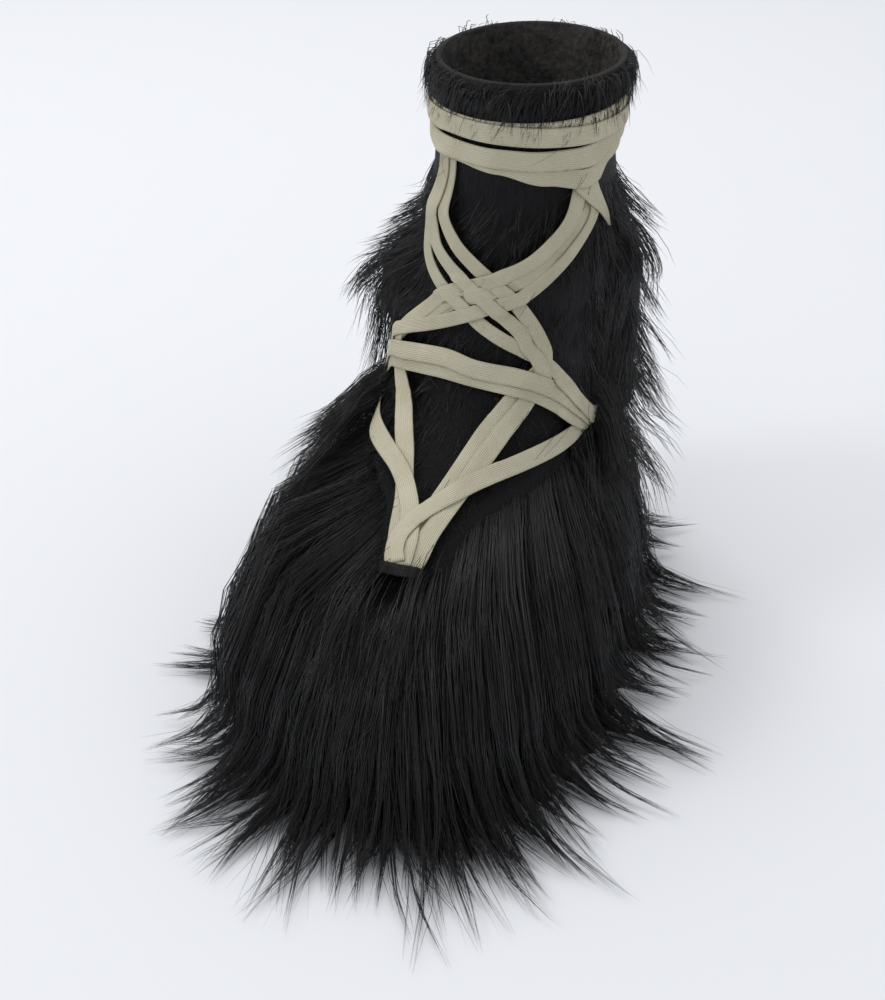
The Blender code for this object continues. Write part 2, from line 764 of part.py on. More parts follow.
def flat_net():
    """The tapes laid out flat and joined: points, triangles and how many tapes cover each."""
    points, quads, owners = [], [], []
    routes = [(route, TAPE_WIDTH) for route in STRAPS.values()]
    routes += [(route, STACK_WIDTH) for route in STACKS.values()]
    for owner, (route, width) in enumerate(routes):
        edges = tape_edges(route, width)
        for left, right in edges:
            points += [Vector((left[0] * FLAT_SCALE, left[1])), Vector((right[0] * FLAT_SCALE, right[1]))]
        first = len(points) - 2 * len(edges)
        for i in range(len(edges) - 1):
            corner = first + 2 * i
            quads.append((corner, corner + 2, corner + 3, corner + 1))
            owners.append(owner)
    flat = delaunay_2d_cdt(points, [], quads, 1, JOIN_DISTANCE)
    triangles, covers = [], []
    for triangle, sources in zip(flat[2], flat[5]):
        if sources:
            triangles.append(triangle)
            covers.append(len({owners[source] for source in sources}))
    return flat[0], triangles, covers


def make_lace(collection, material):
    """The joined net of tapes on the pelt, thicker where tapes lie on each other."""
    places, triangles, covers = flat_net()
    layers = {}
    for triangle, cover in zip(triangles, covers):
        for corner in triangle:
            layers[corner] = max(layers.get(corner, 1), min(cover, MOST_LAYERS))
    build = bmesh.new()
    under, upper = {}, {}
    for corner, layer in layers.items():
        angle, z = places[corner].x / FLAT_SCALE, places[corner].y
        bed = lace_bed(angle, z) + LACE_GAP
        under[corner] = build.verts.new(over(angle, z, bed))
        crown = bed + TAPE_THICKNESS * mix(1, layer, LAYER_SHARE)
        upper[corner] = build.verts.new(over(angle, z, crown))
    sides = {}
    for a, b, c in triangles:
        build.faces.new((upper[a], upper[b], upper[c]))
        build.faces.new((under[c], under[b], under[a]))
        for edge in ((a, b), (b, c), (c, a)):
            if edge[::-1] in sides:
                del sides[edge[::-1]]
            else:
                sides[edge] = True
    for a, b in sides:
        build.faces.new((upper[b], upper[a], under[a], under[b]))
    return add_object("lace", build, collection, material)


def make_wrap(collection, material):
    """The turns of tape round the shaft, as one stepped ring over the ends of the net."""
    columns = []
    for angle in round_angles(WRAP_COLUMNS):
        low = height(table(WRAP_EDGE, wrap_angle(angle)))
        room = mix(PELT_GAP + LACE_GAP + TAPE_THICKNESS * mix(1, MOST_LAYERS, LAYER_SHARE), LACE_GAP,
                   ease((abs(wrap_angle(angle)) - WRAP_ROOM_TO) / WRAP_ROOM_RUN))
        column = []
        for share, lift in WRAP_PROFILE:
            z = low + share * WRAP_HEIGHT
            column.append(over(angle, z, lace_bed(angle, z) + room + lift * WRAP_THICKNESS))
        for share in (1.0, 0.0):
            z = low + share * WRAP_HEIGHT
            column.append(over(angle, z, lace_bed(angle, z) + room))
        columns.append(column)
    return ring_solid("lace_wrap", columns, collection, material)


def loop_path(angle, level, upright):
    """Corner points of a loop: up from the skin, over the tapes and down again."""
    z = height(level)
    half = LOOP_OPENING / 2 + LOOP_THICKNESS / 2
    edge_turn = 0.0 if upright else math.degrees(half / (SHAFT_WIDTH / 2))
    edge_rise = half if upright else 0.0
    crown = lace_bed(angle, z) + LOOP_ROOM + LOOP_THICKNESS / 2
    rise = ((1, PELT_GAP), (1, crown - LOOP_ROUND), (LOOP_SHOULDER, crown))
    path = []
    for side, lift in [(-side, lift) for side, lift in rise] + list(rise[::-1]):
        path.append(over(angle + side * edge_turn, z + side * edge_rise, lift))
    return path


def loop_stations(path, way, band, thickness):
    """Rectangles of a band that follows a loop's path."""
    stations = []
    for index, point in enumerate(path):
        ahead = path[min(index + 1, len(path) - 1)]
        behind = path[max(index - 1, 0)]
        out = (ahead - behind).cross(way).normalized() * thickness / 2
        side = way * band / 2
        stations.append((point - side - out, point + side - out, point + side + out, point - side + out))
    return stations


def make_loop(name, pelt, collection, cutters, material):
    """A sewn loop over the tapes, with slots through the pelt for its two legs."""
    angle, level, upright = LOOPS[name]
    path = loop_path(angle, level, upright)
    across = (path[-1] - path[0]).normalized()
    way = across.cross(outward(angle, height(level))).normalized()
    room = 2 * PELT_GAP
    for foot, knee in ((path[0], path[1]), (path[-1], path[-2])):
        leg = [foot - (knee - foot).normalized() * 2 * PELT_GAP, knee]
        stations = loop_stations(leg, way, LOOP_BAND + room, LOOP_THICKNESS + room)
        combine(pelt, band_solid("slot", stations, cutters), "DIFFERENCE")
    return band_solid(name, loop_stations(path, way, LOOP_BAND, LOOP_THICKNESS), collection, material)


def main():
    for thing in list(bpy.data.objects):
        bpy.data.objects.remove(thing)
    boot = bpy.data.collections.new(NAME)
    cutters = bpy.data.collections.new("cutters")
    for collection in (boot, cutters):
        bpy.context.scene.collection.children.link(collection)
    materials = {name: make_material(name) for name in COLOURS}
    make_outsole(boot, cutters, materials["rubber"])
    make_insole(boot, materials["board"])
    make_upper(boot, materials["skin"])
    make_fur_foot(boot, materials["hair"])
    fur_shaft = make_fur_shaft(boot, materials["hair"])
    make_lace(boot, materials["tape"])
    make_wrap(boot, materials["tape"])
    for name in LOOPS:
        make_loop(name, fur_shaft, boot, cutters, materials["webbing"])


main()
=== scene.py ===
"""Looks of the long-haired winter boot with its wrapped tape lace.

The surface of the last is worked out here from the same sizes as the solids. A place on the boot is an
angle round it, a height and a lift off the skin, so hair, pelt and tapes all follow one surface.
Lengths are in metres, angles in degrees. Angle 0 is the toe, 90 the outer side, 180 the heel.
"""

import math

import bpy
import numpy as np
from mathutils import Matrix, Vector


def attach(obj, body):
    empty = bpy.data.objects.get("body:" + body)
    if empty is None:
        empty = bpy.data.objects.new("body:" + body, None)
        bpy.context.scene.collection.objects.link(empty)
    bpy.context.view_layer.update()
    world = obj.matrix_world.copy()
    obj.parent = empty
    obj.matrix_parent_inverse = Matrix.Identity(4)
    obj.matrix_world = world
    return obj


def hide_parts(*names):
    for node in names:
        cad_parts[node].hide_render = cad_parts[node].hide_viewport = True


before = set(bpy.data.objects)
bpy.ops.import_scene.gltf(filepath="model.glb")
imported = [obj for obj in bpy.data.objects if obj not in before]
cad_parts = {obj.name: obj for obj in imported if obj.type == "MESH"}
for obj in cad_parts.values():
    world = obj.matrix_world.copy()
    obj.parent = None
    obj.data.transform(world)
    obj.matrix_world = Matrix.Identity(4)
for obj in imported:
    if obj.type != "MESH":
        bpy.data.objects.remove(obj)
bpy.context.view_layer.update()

# Driving sizes of the last
SOLE_LENGTH = 0.272
BALL_WIDTH = 0.112
HEEL_BACK = 0.045
FEATHER = 0.032
THROAT = 0.150
BOOT_HEIGHT = 0.325
SHAFT_WIDTH = 0.098
SHAFT_DEPTH = 0.118
SHAFT_Y = -0.0115
TOE_BEND = 0.009
TOE_SPRING = 0.009
UPPER_WALL = 0.003

# Sections of the foot. Front, back and width are shares of the sole's length and the ball.
FOOT_SECTIONS = (
    # level, front, back, width, squareness, heel ratio
    (0.00, 0.985, 0.010, 0.930, 2.45, 0.80),
    (0.14, 1.005, -0.002, 1.000, 2.45, 0.82),
    (0.32, 0.995, -0.002, 1.000, 2.40, 0.83),
    (0.48, 0.945, 0.004, 0.960, 2.30, 0.86),
    (0.60, 0.872, 0.008, 0.900, 2.20, 0.90),
    (0.70, 0.775, 0.010, 0.860, 2.15, 0.94),
    (0.80, 0.675, 0.010, 0.840, 2.10, 0.97),
    (0.90, 0.585, 0.008, 0.830, 2.05, 1.00),
    (1.00, 0.522, 0.004, 0.835, 2.00, 1.00),
)
# Sections of the shaft. Front and back are shares of half its depth, the rest of its width.
SHAFT_SECTIONS = (
    # level, front, back, width, shift
    (1.20, 1.15, 0.96, 0.950, 0.00),
    (1.37, 1.04, 0.98, 0.955, 0.01),
    (1.57, 1.00, 1.00, 0.960, 0.03),
    (1.77, 0.985, 1.02, 0.960, 0.04),
    (2.00, 1.00, 1.06, 1.010, 0.04),
)
HEEL_RUN = 0.62
BEND_FROM = 0.35
SPRING_FROM = 0.72
LEVEL_OUT_BELOW = 0.15
LEVEL_OUT_RUN = 0.35

# Pelt, as in the solids
SHORT_PILE = 0.007
FLANK_PILE = 0.015
DEEP_PILE = 0.040
FOOT_PILE = 0.045
ROOT_LINE = ((0, 0.55), (45, 0.66), (90, 0.72), (135, 0.79), (180, 0.83))
SHAFT_PILE_ROWS = (
    # level, short share, deep share, deep share on the inner side
    (0.40, 1.00, 1.32, 1.32),
    (0.79, 1.00, 1.12, 1.20),
    (1.00, 1.00, 1.02, 1.22),
    (1.14, 1.00, 0.94, 1.24),
    (1.29, 1.00, 0.86, 1.16),
    (1.43, 1.00, 0.68, 0.62),
    (1.54, 1.00, 0.46, 0.18),
    (1.63, 0.85, 0.22, 0.18),
    (1.70, 0.52, 0.10, 0.10),
    (1.88, 0.52, 0.10, 0.10),
    (1.94, 0.90, 0.18, 0.18),
    (2.00, 1.10, 0.22, 0.22),
)
DEEP_START = ((0.9, 100.0), (1.2, 90.0), (1.4, 78.0), (1.7, 76.0))
INNER_START = ((0.90, 92.0), (1.02, 84.0), (1.12, 72.0), (1.24, 60.0), (1.38, 53.0), (1.7, 54.0))
INNER_RUN = 50.0
DEEP_RUN = 26.0
FLANK_START = 28.0
FLANK_RUN = 38.0
FLANK_TOP_LEVEL = 1.5
FLANK_FADE = 0.3

# Lace and loops, as in the solids
TAPE_WIDTH = 0.0116
LACE_GAP = 0.0019
LOOP_BAND = 0.007
LOOP_OPENING = 0.0150
LOOP_ROOM = 0.0066
LOOP_THICKNESS = 0.0014
PELT_GAP = 0.0008
STRAPS = {
    "inner_riser": (
        (-3, 0.612), (-6, 0.645), (-10, 0.688), (-16, 0.76), (-25.5, 0.828), (-36, 0.908),
        (-43, 1.016), (-49, 1.09), (-50, 1.16), (-45, 1.217), (-30, 1.314), (-20, 1.371), (4, 1.440),
        (21, 1.491), (34, 1.560), (43, 1.623), (48, 1.680), (52, 1.745)),
    "outer_riser_a": (
        (0.5, 0.612), (1.5, 0.64), (1, 0.692), (4, 0.768), (8.5, 0.844), (15, 0.955), (26, 1.082),
        (35, 1.149), (38, 1.189), (34, 1.240), (26, 1.309), (15, 1.383), (4, 1.434),
        (-7, 1.480), (-19, 1.531), (-29, 1.600), (-32, 1.680), (-33, 1.780)),
    "outer_riser_b": (
        (3, 0.612), (5, 0.64), (6, 0.696), (10, 0.76), (16.5, 0.844), (24, 0.955), (33, 1.074),
        (36, 1.137), (33, 1.183), (27, 1.223), (21, 1.280), (7, 1.349), (-6, 1.406),
        (-21, 1.457), (-32, 1.509), (-37, 1.589), (-37, 1.657), (-38, 1.780)),
    "inner_arm": (
        (0, 0.612), (-1, 0.645), (-5, 0.704), (-13, 0.762), (-27, 0.807), (-55, 0.828), (-84, 0.85),
        (-95, 0.850)),
    "outer_arm": (
        (-3, 0.612), (-6, 0.64), (-7, 0.676), (-1.5, 0.732), (10, 0.784), (24.5, 0.826), (43, 0.850),
        (62, 0.862), (84, 0.865), (95, 0.858)),
    "cross_low": (
        (-95, 0.854), (-84, 0.87), (-72, 0.98), (-55, 1.074), (-23, 1.126), (1, 1.126), (25, 1.097),
        (45, 1.040), (66, 0.94), (84, 0.87), (95, 0.856)),
    "cross_high": (
        (-95, 0.857), (-84, 0.89), (-72, 1.03), (-54, 1.114), (-20, 1.166), (1, 1.154), (25, 1.131),
        (45, 1.074), (66, 0.98), (84, 0.885), (95, 0.858)),
    "inner_short": (
        (-52, 1.16), (-40, 1.240), (-24, 1.314), (-6, 1.377), (10, 1.417), (24, 1.451),
        (39, 1.526), (48, 1.594), (54, 1.657), (57, 1.740)),
    "outer_long": (
        (95, 0.860), (84, 0.895), (66, 1.005), (52, 1.085), (36, 1.177), (13, 1.251), (0, 1.297),
        (-12, 1.349), (-26, 1.389), (-39, 1.463), (-41, 1.560), (-42, 1.660), (-43, 1.780)),
    "inner_long": (
        (-95, 0.860), (-84, 0.92), (-72, 1.08), (-53, 1.177), (-12, 1.303), (5, 1.354), (20, 1.389),
        (34, 1.457), (46, 1.531), (57, 1.623), (62, 1.740)),
    "tucked_end": ((45, 1.780), (51.5, 1.720), (57.5, 1.664), (65, 1.606), (72, 1.548)),
}
# The three tapes of each side that weave through each other over the instep
RIGHT_RISING = ("inner_riser", "inner_short", "inner_long")
LEFT_RISING = ("outer_long", "outer_riser_b", "outer_riser_a")
# Elsewhere the later tape of a pair lies on the earlier one
LAID_ON = (
    ("inner_riser", "cross_low"), ("inner_riser", "cross_high"), ("cross_low", "cross_high"),
    ("outer_riser_a", "cross_low"), ("outer_riser_a", "cross_high"),
    ("outer_riser_b", "cross_low"), ("outer_riser_b", "cross_high"),
    ("outer_riser_a", "outer_riser_b"), ("inner_riser", "outer_riser_a"),
    ("inner_riser", "outer_riser_b"), ("inner_riser", "inner_arm"),
    ("outer_riser_a", "inner_arm"), ("outer_riser_b", "inner_arm"),
    ("inner_riser", "outer_arm"), ("outer_riser_a", "outer_arm"), ("outer_riser_b", "outer_arm"),
    ("inner_arm", "outer_arm"), ("inner_arm", "cross_low"), ("inner_arm", "cross_high"),
    ("inner_arm", "inner_long"), ("outer_arm", "cross_low"), ("outer_arm", "cross_high"),
    ("outer_arm", "outer_long"), ("cross_low", "outer_long"), ("cross_high", "outer_long"),
    ("inner_long", "cross_low"), ("inner_long", "cross_high"),
    ("inner_short", "inner_riser"), ("inner_short", "inner_long"), ("inner_riser", "inner_long"),
    ("outer_long", "outer_riser_b"), ("outer_long", "outer_riser_a"),
    ("inner_riser", "tucked_end"), ("inner_short", "tucked_end"), ("inner_long", "tucked_end"),
)
WEAVE_FROM = 1.20
WEAVE_TO = 1.50
# Tapes of one side lie beside each other in the weave, each edge a little over the next one's
BESIDE_ORDER = ("inner_short", "inner_riser", "inner_long", "outer_long", "outer_riser_a", "outer_riser_b")
LOOPS = {
    # name: angle, level, across turned upright
    "loop_toe": (-0.5, 0.598, False),
    "loop_outer": (92, 0.856, True),
    "loop_inner": (-92, 0.856, True),
}


def ease(value):
    value = np.clip(value, 0, 1)
    return value * value * (3 - 2 * value)


def mix(start, end, share):
    return start + (end - start) * share


def table(rows, place, column=1):
    """Read a column of a table of rows at places, with eased steps between the rows."""
    keys = np.array([row[0] for row in rows], float)
    values = np.array([row[column] for row in rows], float)
    low = np.clip(np.searchsorted(keys, place, side="right") - 1, 0, len(rows) - 2)
    share = ease((place - keys[low]) / (keys[low + 1] - keys[low]))
    return mix(values[low], values[low + 1], share)


def height(level):
    level = np.asarray(level, float)
    return np.where(level <= 1, mix(FEATHER, THROAT, level), mix(THROAT, BOOT_HEIGHT, level - 1))


def level_of(z):
    foot = (z - FEATHER) / (THROAT - FEATHER)
    return np.where(z <= THROAT, foot, 1 + (z - THROAT) / (BOOT_HEIGHT - THROAT))


def all_sections():
    """Rows of height, front, back, half width, shift, squareness and heel ratio."""
    rows = []
    for level, front, back, width, square, heel in FOOT_SECTIONS:
        ends = HEEL_BACK - front * SOLE_LENGTH, HEEL_BACK - back * SOLE_LENGTH
        rows.append((height(level), *ends, width * BALL_WIDTH / 2, 0, square, heel))
    for level, front, back, width, shift in SHAFT_SECTIONS:
        ends = SHAFT_Y - front * SHAFT_DEPTH / 2, SHAFT_Y + back * SHAFT_DEPTH / 2
        rows.append((height(level), *ends, width * SHAFT_WIDTH / 2, shift * SHAFT_WIDTH, 2, 1))
    return np.array(rows, float)


SECTIONS = all_sections()
BETWEEN = np.diff(SECTIONS, axis=0) / np.diff(SECTIONS[:, :1], axis=0)
SLOPES = np.vstack([BETWEEN[:1], (BETWEEN[1:] + BETWEEN[:-1]) / 2, BETWEEN[-1:]])


def section_at(z):
    """Sections at heights, on smooth curves through the tabled ones."""
    z = np.clip(z, SECTIONS[0, 0], SECTIONS[-1, 0])
    low = np.clip(np.searchsorted(SECTIONS[:, 0], z) - 1, 0, len(SECTIONS) - 2)
    span = (SECTIONS[low + 1, 0] - SECTIONS[low, 0])[:, None]
    t = (z - SECTIONS[low, 0])[:, None] / span
    keep = 2 * t ** 3 - 3 * t ** 2 + 1
    turns = (t ** 3 - 2 * t ** 2 + t) * span * SLOPES[low] + (t ** 3 - t ** 2) * span * SLOPES[low + 1]
    return (keep * SECTIONS[low] + (1 - keep) * SECTIONS[low + 1] + turns).T


def length_share(y):
    return np.clip((HEEL_BACK - y) / SOLE_LENGTH, 0, 1)


def spring(y):
    return TOE_SPRING * ease((length_share(y) - SPRING_FROM) / (1 - SPRING_FROM))


def signed_power(value, power):
    return np.sign(value) * np.abs(value) ** power


def skin(angle, z):
    """Points on the outside of the upper."""
    _, front, back, half, shift, square, heel = section_at(z)
    turn = np.radians(angle)
    across = signed_power(np.sin(turn), 2 / square)
    y = (front + back) / 2 - (back - front) / 2 * signed_power(np.cos(turn), 2 / square)
    width = half * mix(heel, 1, ease((back - y) / (back - front) / HEEL_RUN))
    bend = TOE_BEND * ease((length_share(y) - BEND_FROM) / (1 - BEND_FROM))
    rise = spring(y) * (1 - np.clip(level_of(z), 0, 1))
    return np.stack([width * across - bend + shift, y, z + rise], -1)


def unit(vectors):
    return vectors / np.maximum(np.linalg.norm(vectors, axis=-1, keepdims=True), 1e-12)


def outward(angle, z):
    """Directions out of the skin, laid level near the sole."""
    turn = 0.5
    rise = 0.002 * (THROAT - FEATHER)
    round_way = skin(angle + turn, z) - skin(angle - turn, z)
    up_way = skin(angle, z + rise) - skin(angle, np.maximum(z - rise, FEATHER))
    way = unit(np.cross(round_way, up_way))
    way[:, 2] = np.maximum(way[:, 2], 0) * ease((level_of(z) - LEVEL_OUT_BELOW) / LEVEL_OUT_RUN)
    return unit(way)


def over(angle, z, lift):
    """Points that far off the skin, for arrays of any one shape."""
    angle, z, lift = np.broadcast_arrays(np.asarray(angle, float), z, lift)
    shape = angle.shape
    angle, z, lift = angle.ravel(), z.ravel(), lift.ravel()
    base = np.maximum(z, FEATHER)
    points = skin(angle, base) + outward(angle, base) * lift[:, None]
    low = z + (points[:, 2] - FEATHER) * z / FEATHER
    points[:, 2] = np.where(z < FEATHER, low, points[:, 2])
    return points.reshape(*shape, 3)


def wrap_angle(angle):
    return (angle + 180) % 360 - 180


def root_height(angle):
    return height(table(ROOT_LINE, np.abs(wrap_angle(angle))))


def deepness(angle, z):
    angle, level = wrap_angle(angle), level_of(z)
    start = np.where(angle < 0, table(INNER_START, level), table(DEEP_START, level))
    return ease((np.abs(angle) - start) / DEEP_RUN)


def innerness(angle):
    angle = wrap_angle(angle)
    return ease(-angle / INNER_RUN) * ease((angle + 180) / INNER_RUN)


def short_pile(angle, z):
    """Thickness of the shaft's pelt where it is short."""
    level = level_of(z)
    flank = ease((-wrap_angle(angle) - FLANK_START) / FLANK_RUN)
    flank = flank * ease((FLANK_TOP_LEVEL - level) / FLANK_FADE)
    return mix(SHORT_PILE, FLANK_PILE, flank) * table(SHAFT_PILE_ROWS, level, 1)


def shaft_pile(angle, z):
    """Thickness of the shaft's pelt."""
    level = level_of(z)
    share = mix(table(SHAFT_PILE_ROWS, level, 2), table(SHAFT_PILE_ROWS, level, 3), innerness(angle))
    return mix(short_pile(angle, z), DEEP_PILE * share, deepness(angle, z))


def lace_bed(angle, z, pile=shaft_pile):
    """Height of the pelt under a tape's whole width."""
    turn = math.degrees(0.5 * TAPE_WIDTH / (SHAFT_WIDTH / 2))
    rise = 0.5 * TAPE_WIDTH
    beds = [pile(angle + side * turn, z) for side in (-1, 0, 1)]
    beds += [pile(angle, z + side * rise) for side in (-1, 1)]
    return np.max(beds, axis=0)


class Value:
    """A shader socket that can be used in sums."""

    def __init__(self, paint, socket):
        self.paint = paint
        self.socket = socket

    def math(self, operation, *values):
        inputs = dict(enumerate(values))
        return self.paint.node("ShaderNodeMath", {"operation": operation}, inputs)[0]

    def __add__(self, other):
        return self.math("ADD", self, other)

    def __radd__(self, other):
        return self.math("ADD", other, self)

    def __sub__(self, other):
        return self.math("SUBTRACT", self, other)

    def __rsub__(self, other):
        return self.math("SUBTRACT", other, self)

    def __mul__(self, other):
        return self.math("MULTIPLY", self, other)

    def __rmul__(self, other):
        return self.math("MULTIPLY", other, self)

    def __truediv__(self, other):
        return self.math("DIVIDE", self, other)

    def __pow__(self, other):
        return self.math("POWER", self, other)

    def sine(self):
        return self.math("SINE", self)

    def clip(self):
        return self.math("MINIMUM", self.math("MAXIMUM", self, 0.0), 1.0)

    def over(self, edge, run):
        """0 below the edge, 1 past the run above it."""
        return ((self - edge) / run).clip()


class Paint:
    """A material's nodes."""

    def __init__(self, name, roughness, specular=0.5):
        self.material = bpy.data.materials.new(name)
        self.material.use_nodes = True
        self.tree = self.material.node_tree
        self.shader = self.tree.nodes["Principled BSDF"]
        self.shader.inputs["Roughness"].default_value = roughness
        self.shader.inputs["Specular IOR Level"].default_value = specular

    def fill(self, socket, value):
        if isinstance(value, Value):
            self.tree.links.new(value.socket, socket)
        else:
            socket.default_value = value

    def node(self, kind, settings=None, values=None):
        """Add a node, with its settings first and then its sockets' values or links."""
        node = self.tree.nodes.new(kind)
        for key, value in (settings or {}).items():
            setattr(node, key, value)
        for key, value in (values or {}).items():
            if isinstance(key, int):
                socket = node.inputs[key]
            else:
                socket = next(s for s in node.inputs if key in (s.identifier, s.name))
            self.fill(socket, value)
        return [Value(self, socket) for socket in node.outputs]

    def attribute(self, name):
        return self.node("ShaderNodeAttribute", {"attribute_name": name})[2]

    def uv(self):
        """The piece's own u and v."""
        vector = self.node("ShaderNodeUVMap", {"uv_map": "UVMap"})[0]
        return self.node("ShaderNodeSeparateXYZ", values={0: vector})[:2]

    def place(self, scale=(1, 1, 1), turn=(0, 0, 0)):
        vector = self.node("ShaderNodeTexCoord")[3]
        values = {"Vector": vector, "Scale": scale, "Rotation": turn}
        return self.node("ShaderNodeMapping", values=values)[0]

    def noise(self, scale, detail=3.0, vector=None, roughness=0.55):
        values = {"Scale": scale, "Detail": detail, "Roughness": roughness}
        values["Vector"] = vector or self.place()
        return self.node("ShaderNodeTexNoise", values=values)[0]

    def blend(self, factor, first, second):
        values = {"Factor_Float": factor}
        for key, value in (("A_Color", first), ("B_Color", second)):
            values[key] = value if isinstance(value, Value) else (*value, 1)
        return self.node("ShaderNodeMix", {"data_type": "RGBA"}, values)[2]

    def finish(self, colour, roughness=None, bump=None, depth=0.001, strength=1.0):
        """Link colour, roughness and a height in shares of the depth."""
        self.fill(self.shader.inputs["Base Color"], colour)
        if roughness is not None:
            self.fill(self.shader.inputs["Roughness"], roughness)
        if bump is not None:
            values = {"Strength": strength, "Distance": depth, "Height": bump}
            normal = self.node("ShaderNodeBump", values=values)[0]
            self.fill(self.shader.inputs["Normal"], normal)
        return self.material


def hair_material():
    """Black straight hair: each lock and each hair a little lighter or darker, partly their own tone and
    partly painted sheen and shade on the locks, and a painted grey glint along the middle of a few hairs.
    """
    paint = Paint("hair", 0.32, specular=0.50)
    strand, clump, along = (paint.attribute(name) for name in ("strand", "clump", "along"))
    # Lighter or darker by lock and by hair: partly own tone, partly painted sheen and shade that varies
    # from lock to lock.
    tone_and_sheen = (clump ** 2 * 0.65 + strand ** 3 * 0.3).clip()
    colour = paint.blend(tone_and_sheen, (0.0055, 0.0055, 0.0060), (0.0250, 0.0252, 0.0270))
    # Painted glints: a few hairs are lighter grey along their middle, fading towards root and tip.
    painted_glint = strand.over(0.93, 0.04) * along.over(0.1, 0.3) * (1.1 - along).clip()
    colour = paint.blend(painted_glint, colour, (0.060, 0.061, 0.066))
    return paint.finish(colour, roughness=strand * 0.14 + 0.25)


def pelt_material():
    """The dense underfur seen between the locks."""
    paint = Paint("underfur", 0.62, specular=0.16)
    streaks = paint.noise(1.0, 4.0, paint.place((900.0, 900.0, 90.0)))
    tufts = paint.noise(140.0, 3.0)
    colour = paint.blend(streaks.over(0.35, 0.4), (0.0022, 0.0022, 0.0025), (0.0090, 0.0092, 0.0105))
    return paint.finish(colour, bump=streaks * 0.7 + tufts * 0.3, depth=0.003, strength=0.8)


def tape_material():
    """Flat woven cotton tape: ribs along it, picks across, small stains and lint, with painted shade in
    the grooves between the ribs and along both edges.
    """
    paint = Paint("cotton_tape", 0.9, specular=0.16)
    along, across = paint.uv()
    ribs = (across * (2 * math.pi * 10)).sine() * 0.5 + 0.5
    picks = (along * (2 * math.pi * 1100)).sine() * 0.5 + 0.5
    fibres = paint.noise(1.0, 4.0, paint.place((1500.0, 1500.0, 1500.0)))
    clouds = paint.noise(55.0, 3.0)
    colour = paint.blend(clouds.over(0.35, 0.35), (0.545, 0.505, 0.375), (0.625, 0.585, 0.450))
    # Painted shade in the grooves between the ribs, together with darker fibres speckled over the tape.
    groove_shade_and_fibres = (1 - ribs).over(0.55, 0.45) * 0.40 + fibres.over(0.56, 0.2) * 0.35
    colour = paint.blend(groove_shade_and_fibres.clip(), colour, (0.330, 0.305, 0.215))
    # Painted shade along both edges of the tape, where it rounds down.
    edge = (across - 0.5).math("ABSOLUTE", across - 0.5).over(0.44, 0.06)
    colour = paint.blend(edge * 0.45, colour, (0.300, 0.275, 0.195))
    bump = ribs * 0.55 + ribs * picks * 0.20 + fibres * 0.35
    return paint.finish(colour, roughness=0.84 + clouds * 0.1, bump=bump, depth=0.0004)


def webbing_material():
    paint = Paint("webbing", 0.8, specular=0.25)
    along, across = paint.uv()
    weave = (across * (2 * math.pi * 5)).sine() * (along * (2 * math.pi * 700)).sine() * 0.5 + 0.5
    lint = paint.noise(1.0, 4.0, paint.place((1800.0, 1800.0, 1800.0)))
    colour = paint.blend(lint.over(0.45, 0.3), (0.006, 0.006, 0.0066), (0.022, 0.022, 0.024))
    return paint.finish(colour, bump=weave * 0.6 + lint * 0.4, depth=0.0005)


def suede_material():
    paint = Paint("suede", 0.88, specular=0.2)
    nap = paint.noise(900.0, 4.0)
    patches = paint.noise(45.0, 3.0)
    colour = paint.blend(patches.over(0.3, 0.4), (0.014, 0.013, 0.0125), (0.034, 0.031, 0.029))
    return paint.finish(colour, roughness=0.8 + patches * 0.15, bump=nap, depth=0.0004)


def lining_material():
    """Short clipped wool on the inside."""
    paint = Paint("wool_lining", 0.95, specular=0.12)
    curls = paint.noise(330.0, 5.0)
    tufts = paint.noise(95.0, 3.0)
    wool = curls * 0.6 + tufts * 0.4
    colour = paint.blend(wool.over(0.35, 0.35), (0.020, 0.019, 0.018), (0.085, 0.080, 0.075))
    return paint.finish(colour, bump=wool, depth=0.003, strength=0.9)


def felt_material():
    paint = Paint("felt_board", 0.95, specular=0.12)
    fibres = paint.noise(1100.0, 4.0)
    wear = paint.noise(28.0, 3.0)
    colour = paint.blend(wear.over(0.35, 0.3), (0.024, 0.022, 0.020), (0.055, 0.051, 0.047))
    return paint.finish(colour, bump=fibres, depth=0.0006)


def rubber_material():
    paint = Paint("rubber", 0.6, specular=0.4)
    grain = paint.noise(1500.0, 3.0)
    dust = paint.noise(38.0, 4.0)
    colour = paint.blend(dust.over(0.5, 0.25) * 0.6, (0.010, 0.010, 0.011), (0.038, 0.036, 0.034))
    return paint.finish(colour, roughness=0.52 + dust * 0.25, bump=grain, depth=0.0002)


def floor_material():
    paint = Paint("floor", 0.75, specular=0.1)
    cloud = paint.noise(3.0, 2.0)
    colour = paint.blend(cloud, (0.820, 0.832, 0.862), (0.828, 0.840, 0.870))
    return paint.finish(colour)


def mesh_piece(name, points, faces, materials, uv=None, smooth=True):
    """An object from points and faces, with u and v per point if given."""
    mesh = bpy.data.meshes.new(name)
    mesh.from_pydata(points.tolist(), [], faces)
    if uv is not None:
        layer = mesh.uv_layers.new(name="UVMap")
        corners = np.zeros(len(mesh.loops), np.int32)
        mesh.loops.foreach_get("vertex_index", corners)
        layer.data.foreach_set("uv", uv[corners].astype(np.float32).ravel())
    for material in materials:
        mesh.materials.append(material)
    if smooth:
        mesh.shade_smooth()
    thing = bpy.data.objects.new(name, mesh)
    bpy.context.scene.collection.objects.link(thing)
    return thing


def grid_faces(rows, columns, close_rows, close_columns):
    """Quads of a grid of points. Row r, column c is point r * columns + c."""
    faces = []
    for r in range(rows if close_rows else rows - 1):
        s = (r + 1) % rows
        for c in range(columns if close_columns else columns - 1):
            d = (c + 1) % columns
            faces.append((r * columns + c, r * columns + d, s * columns + d, s * columns + c))
    return faces


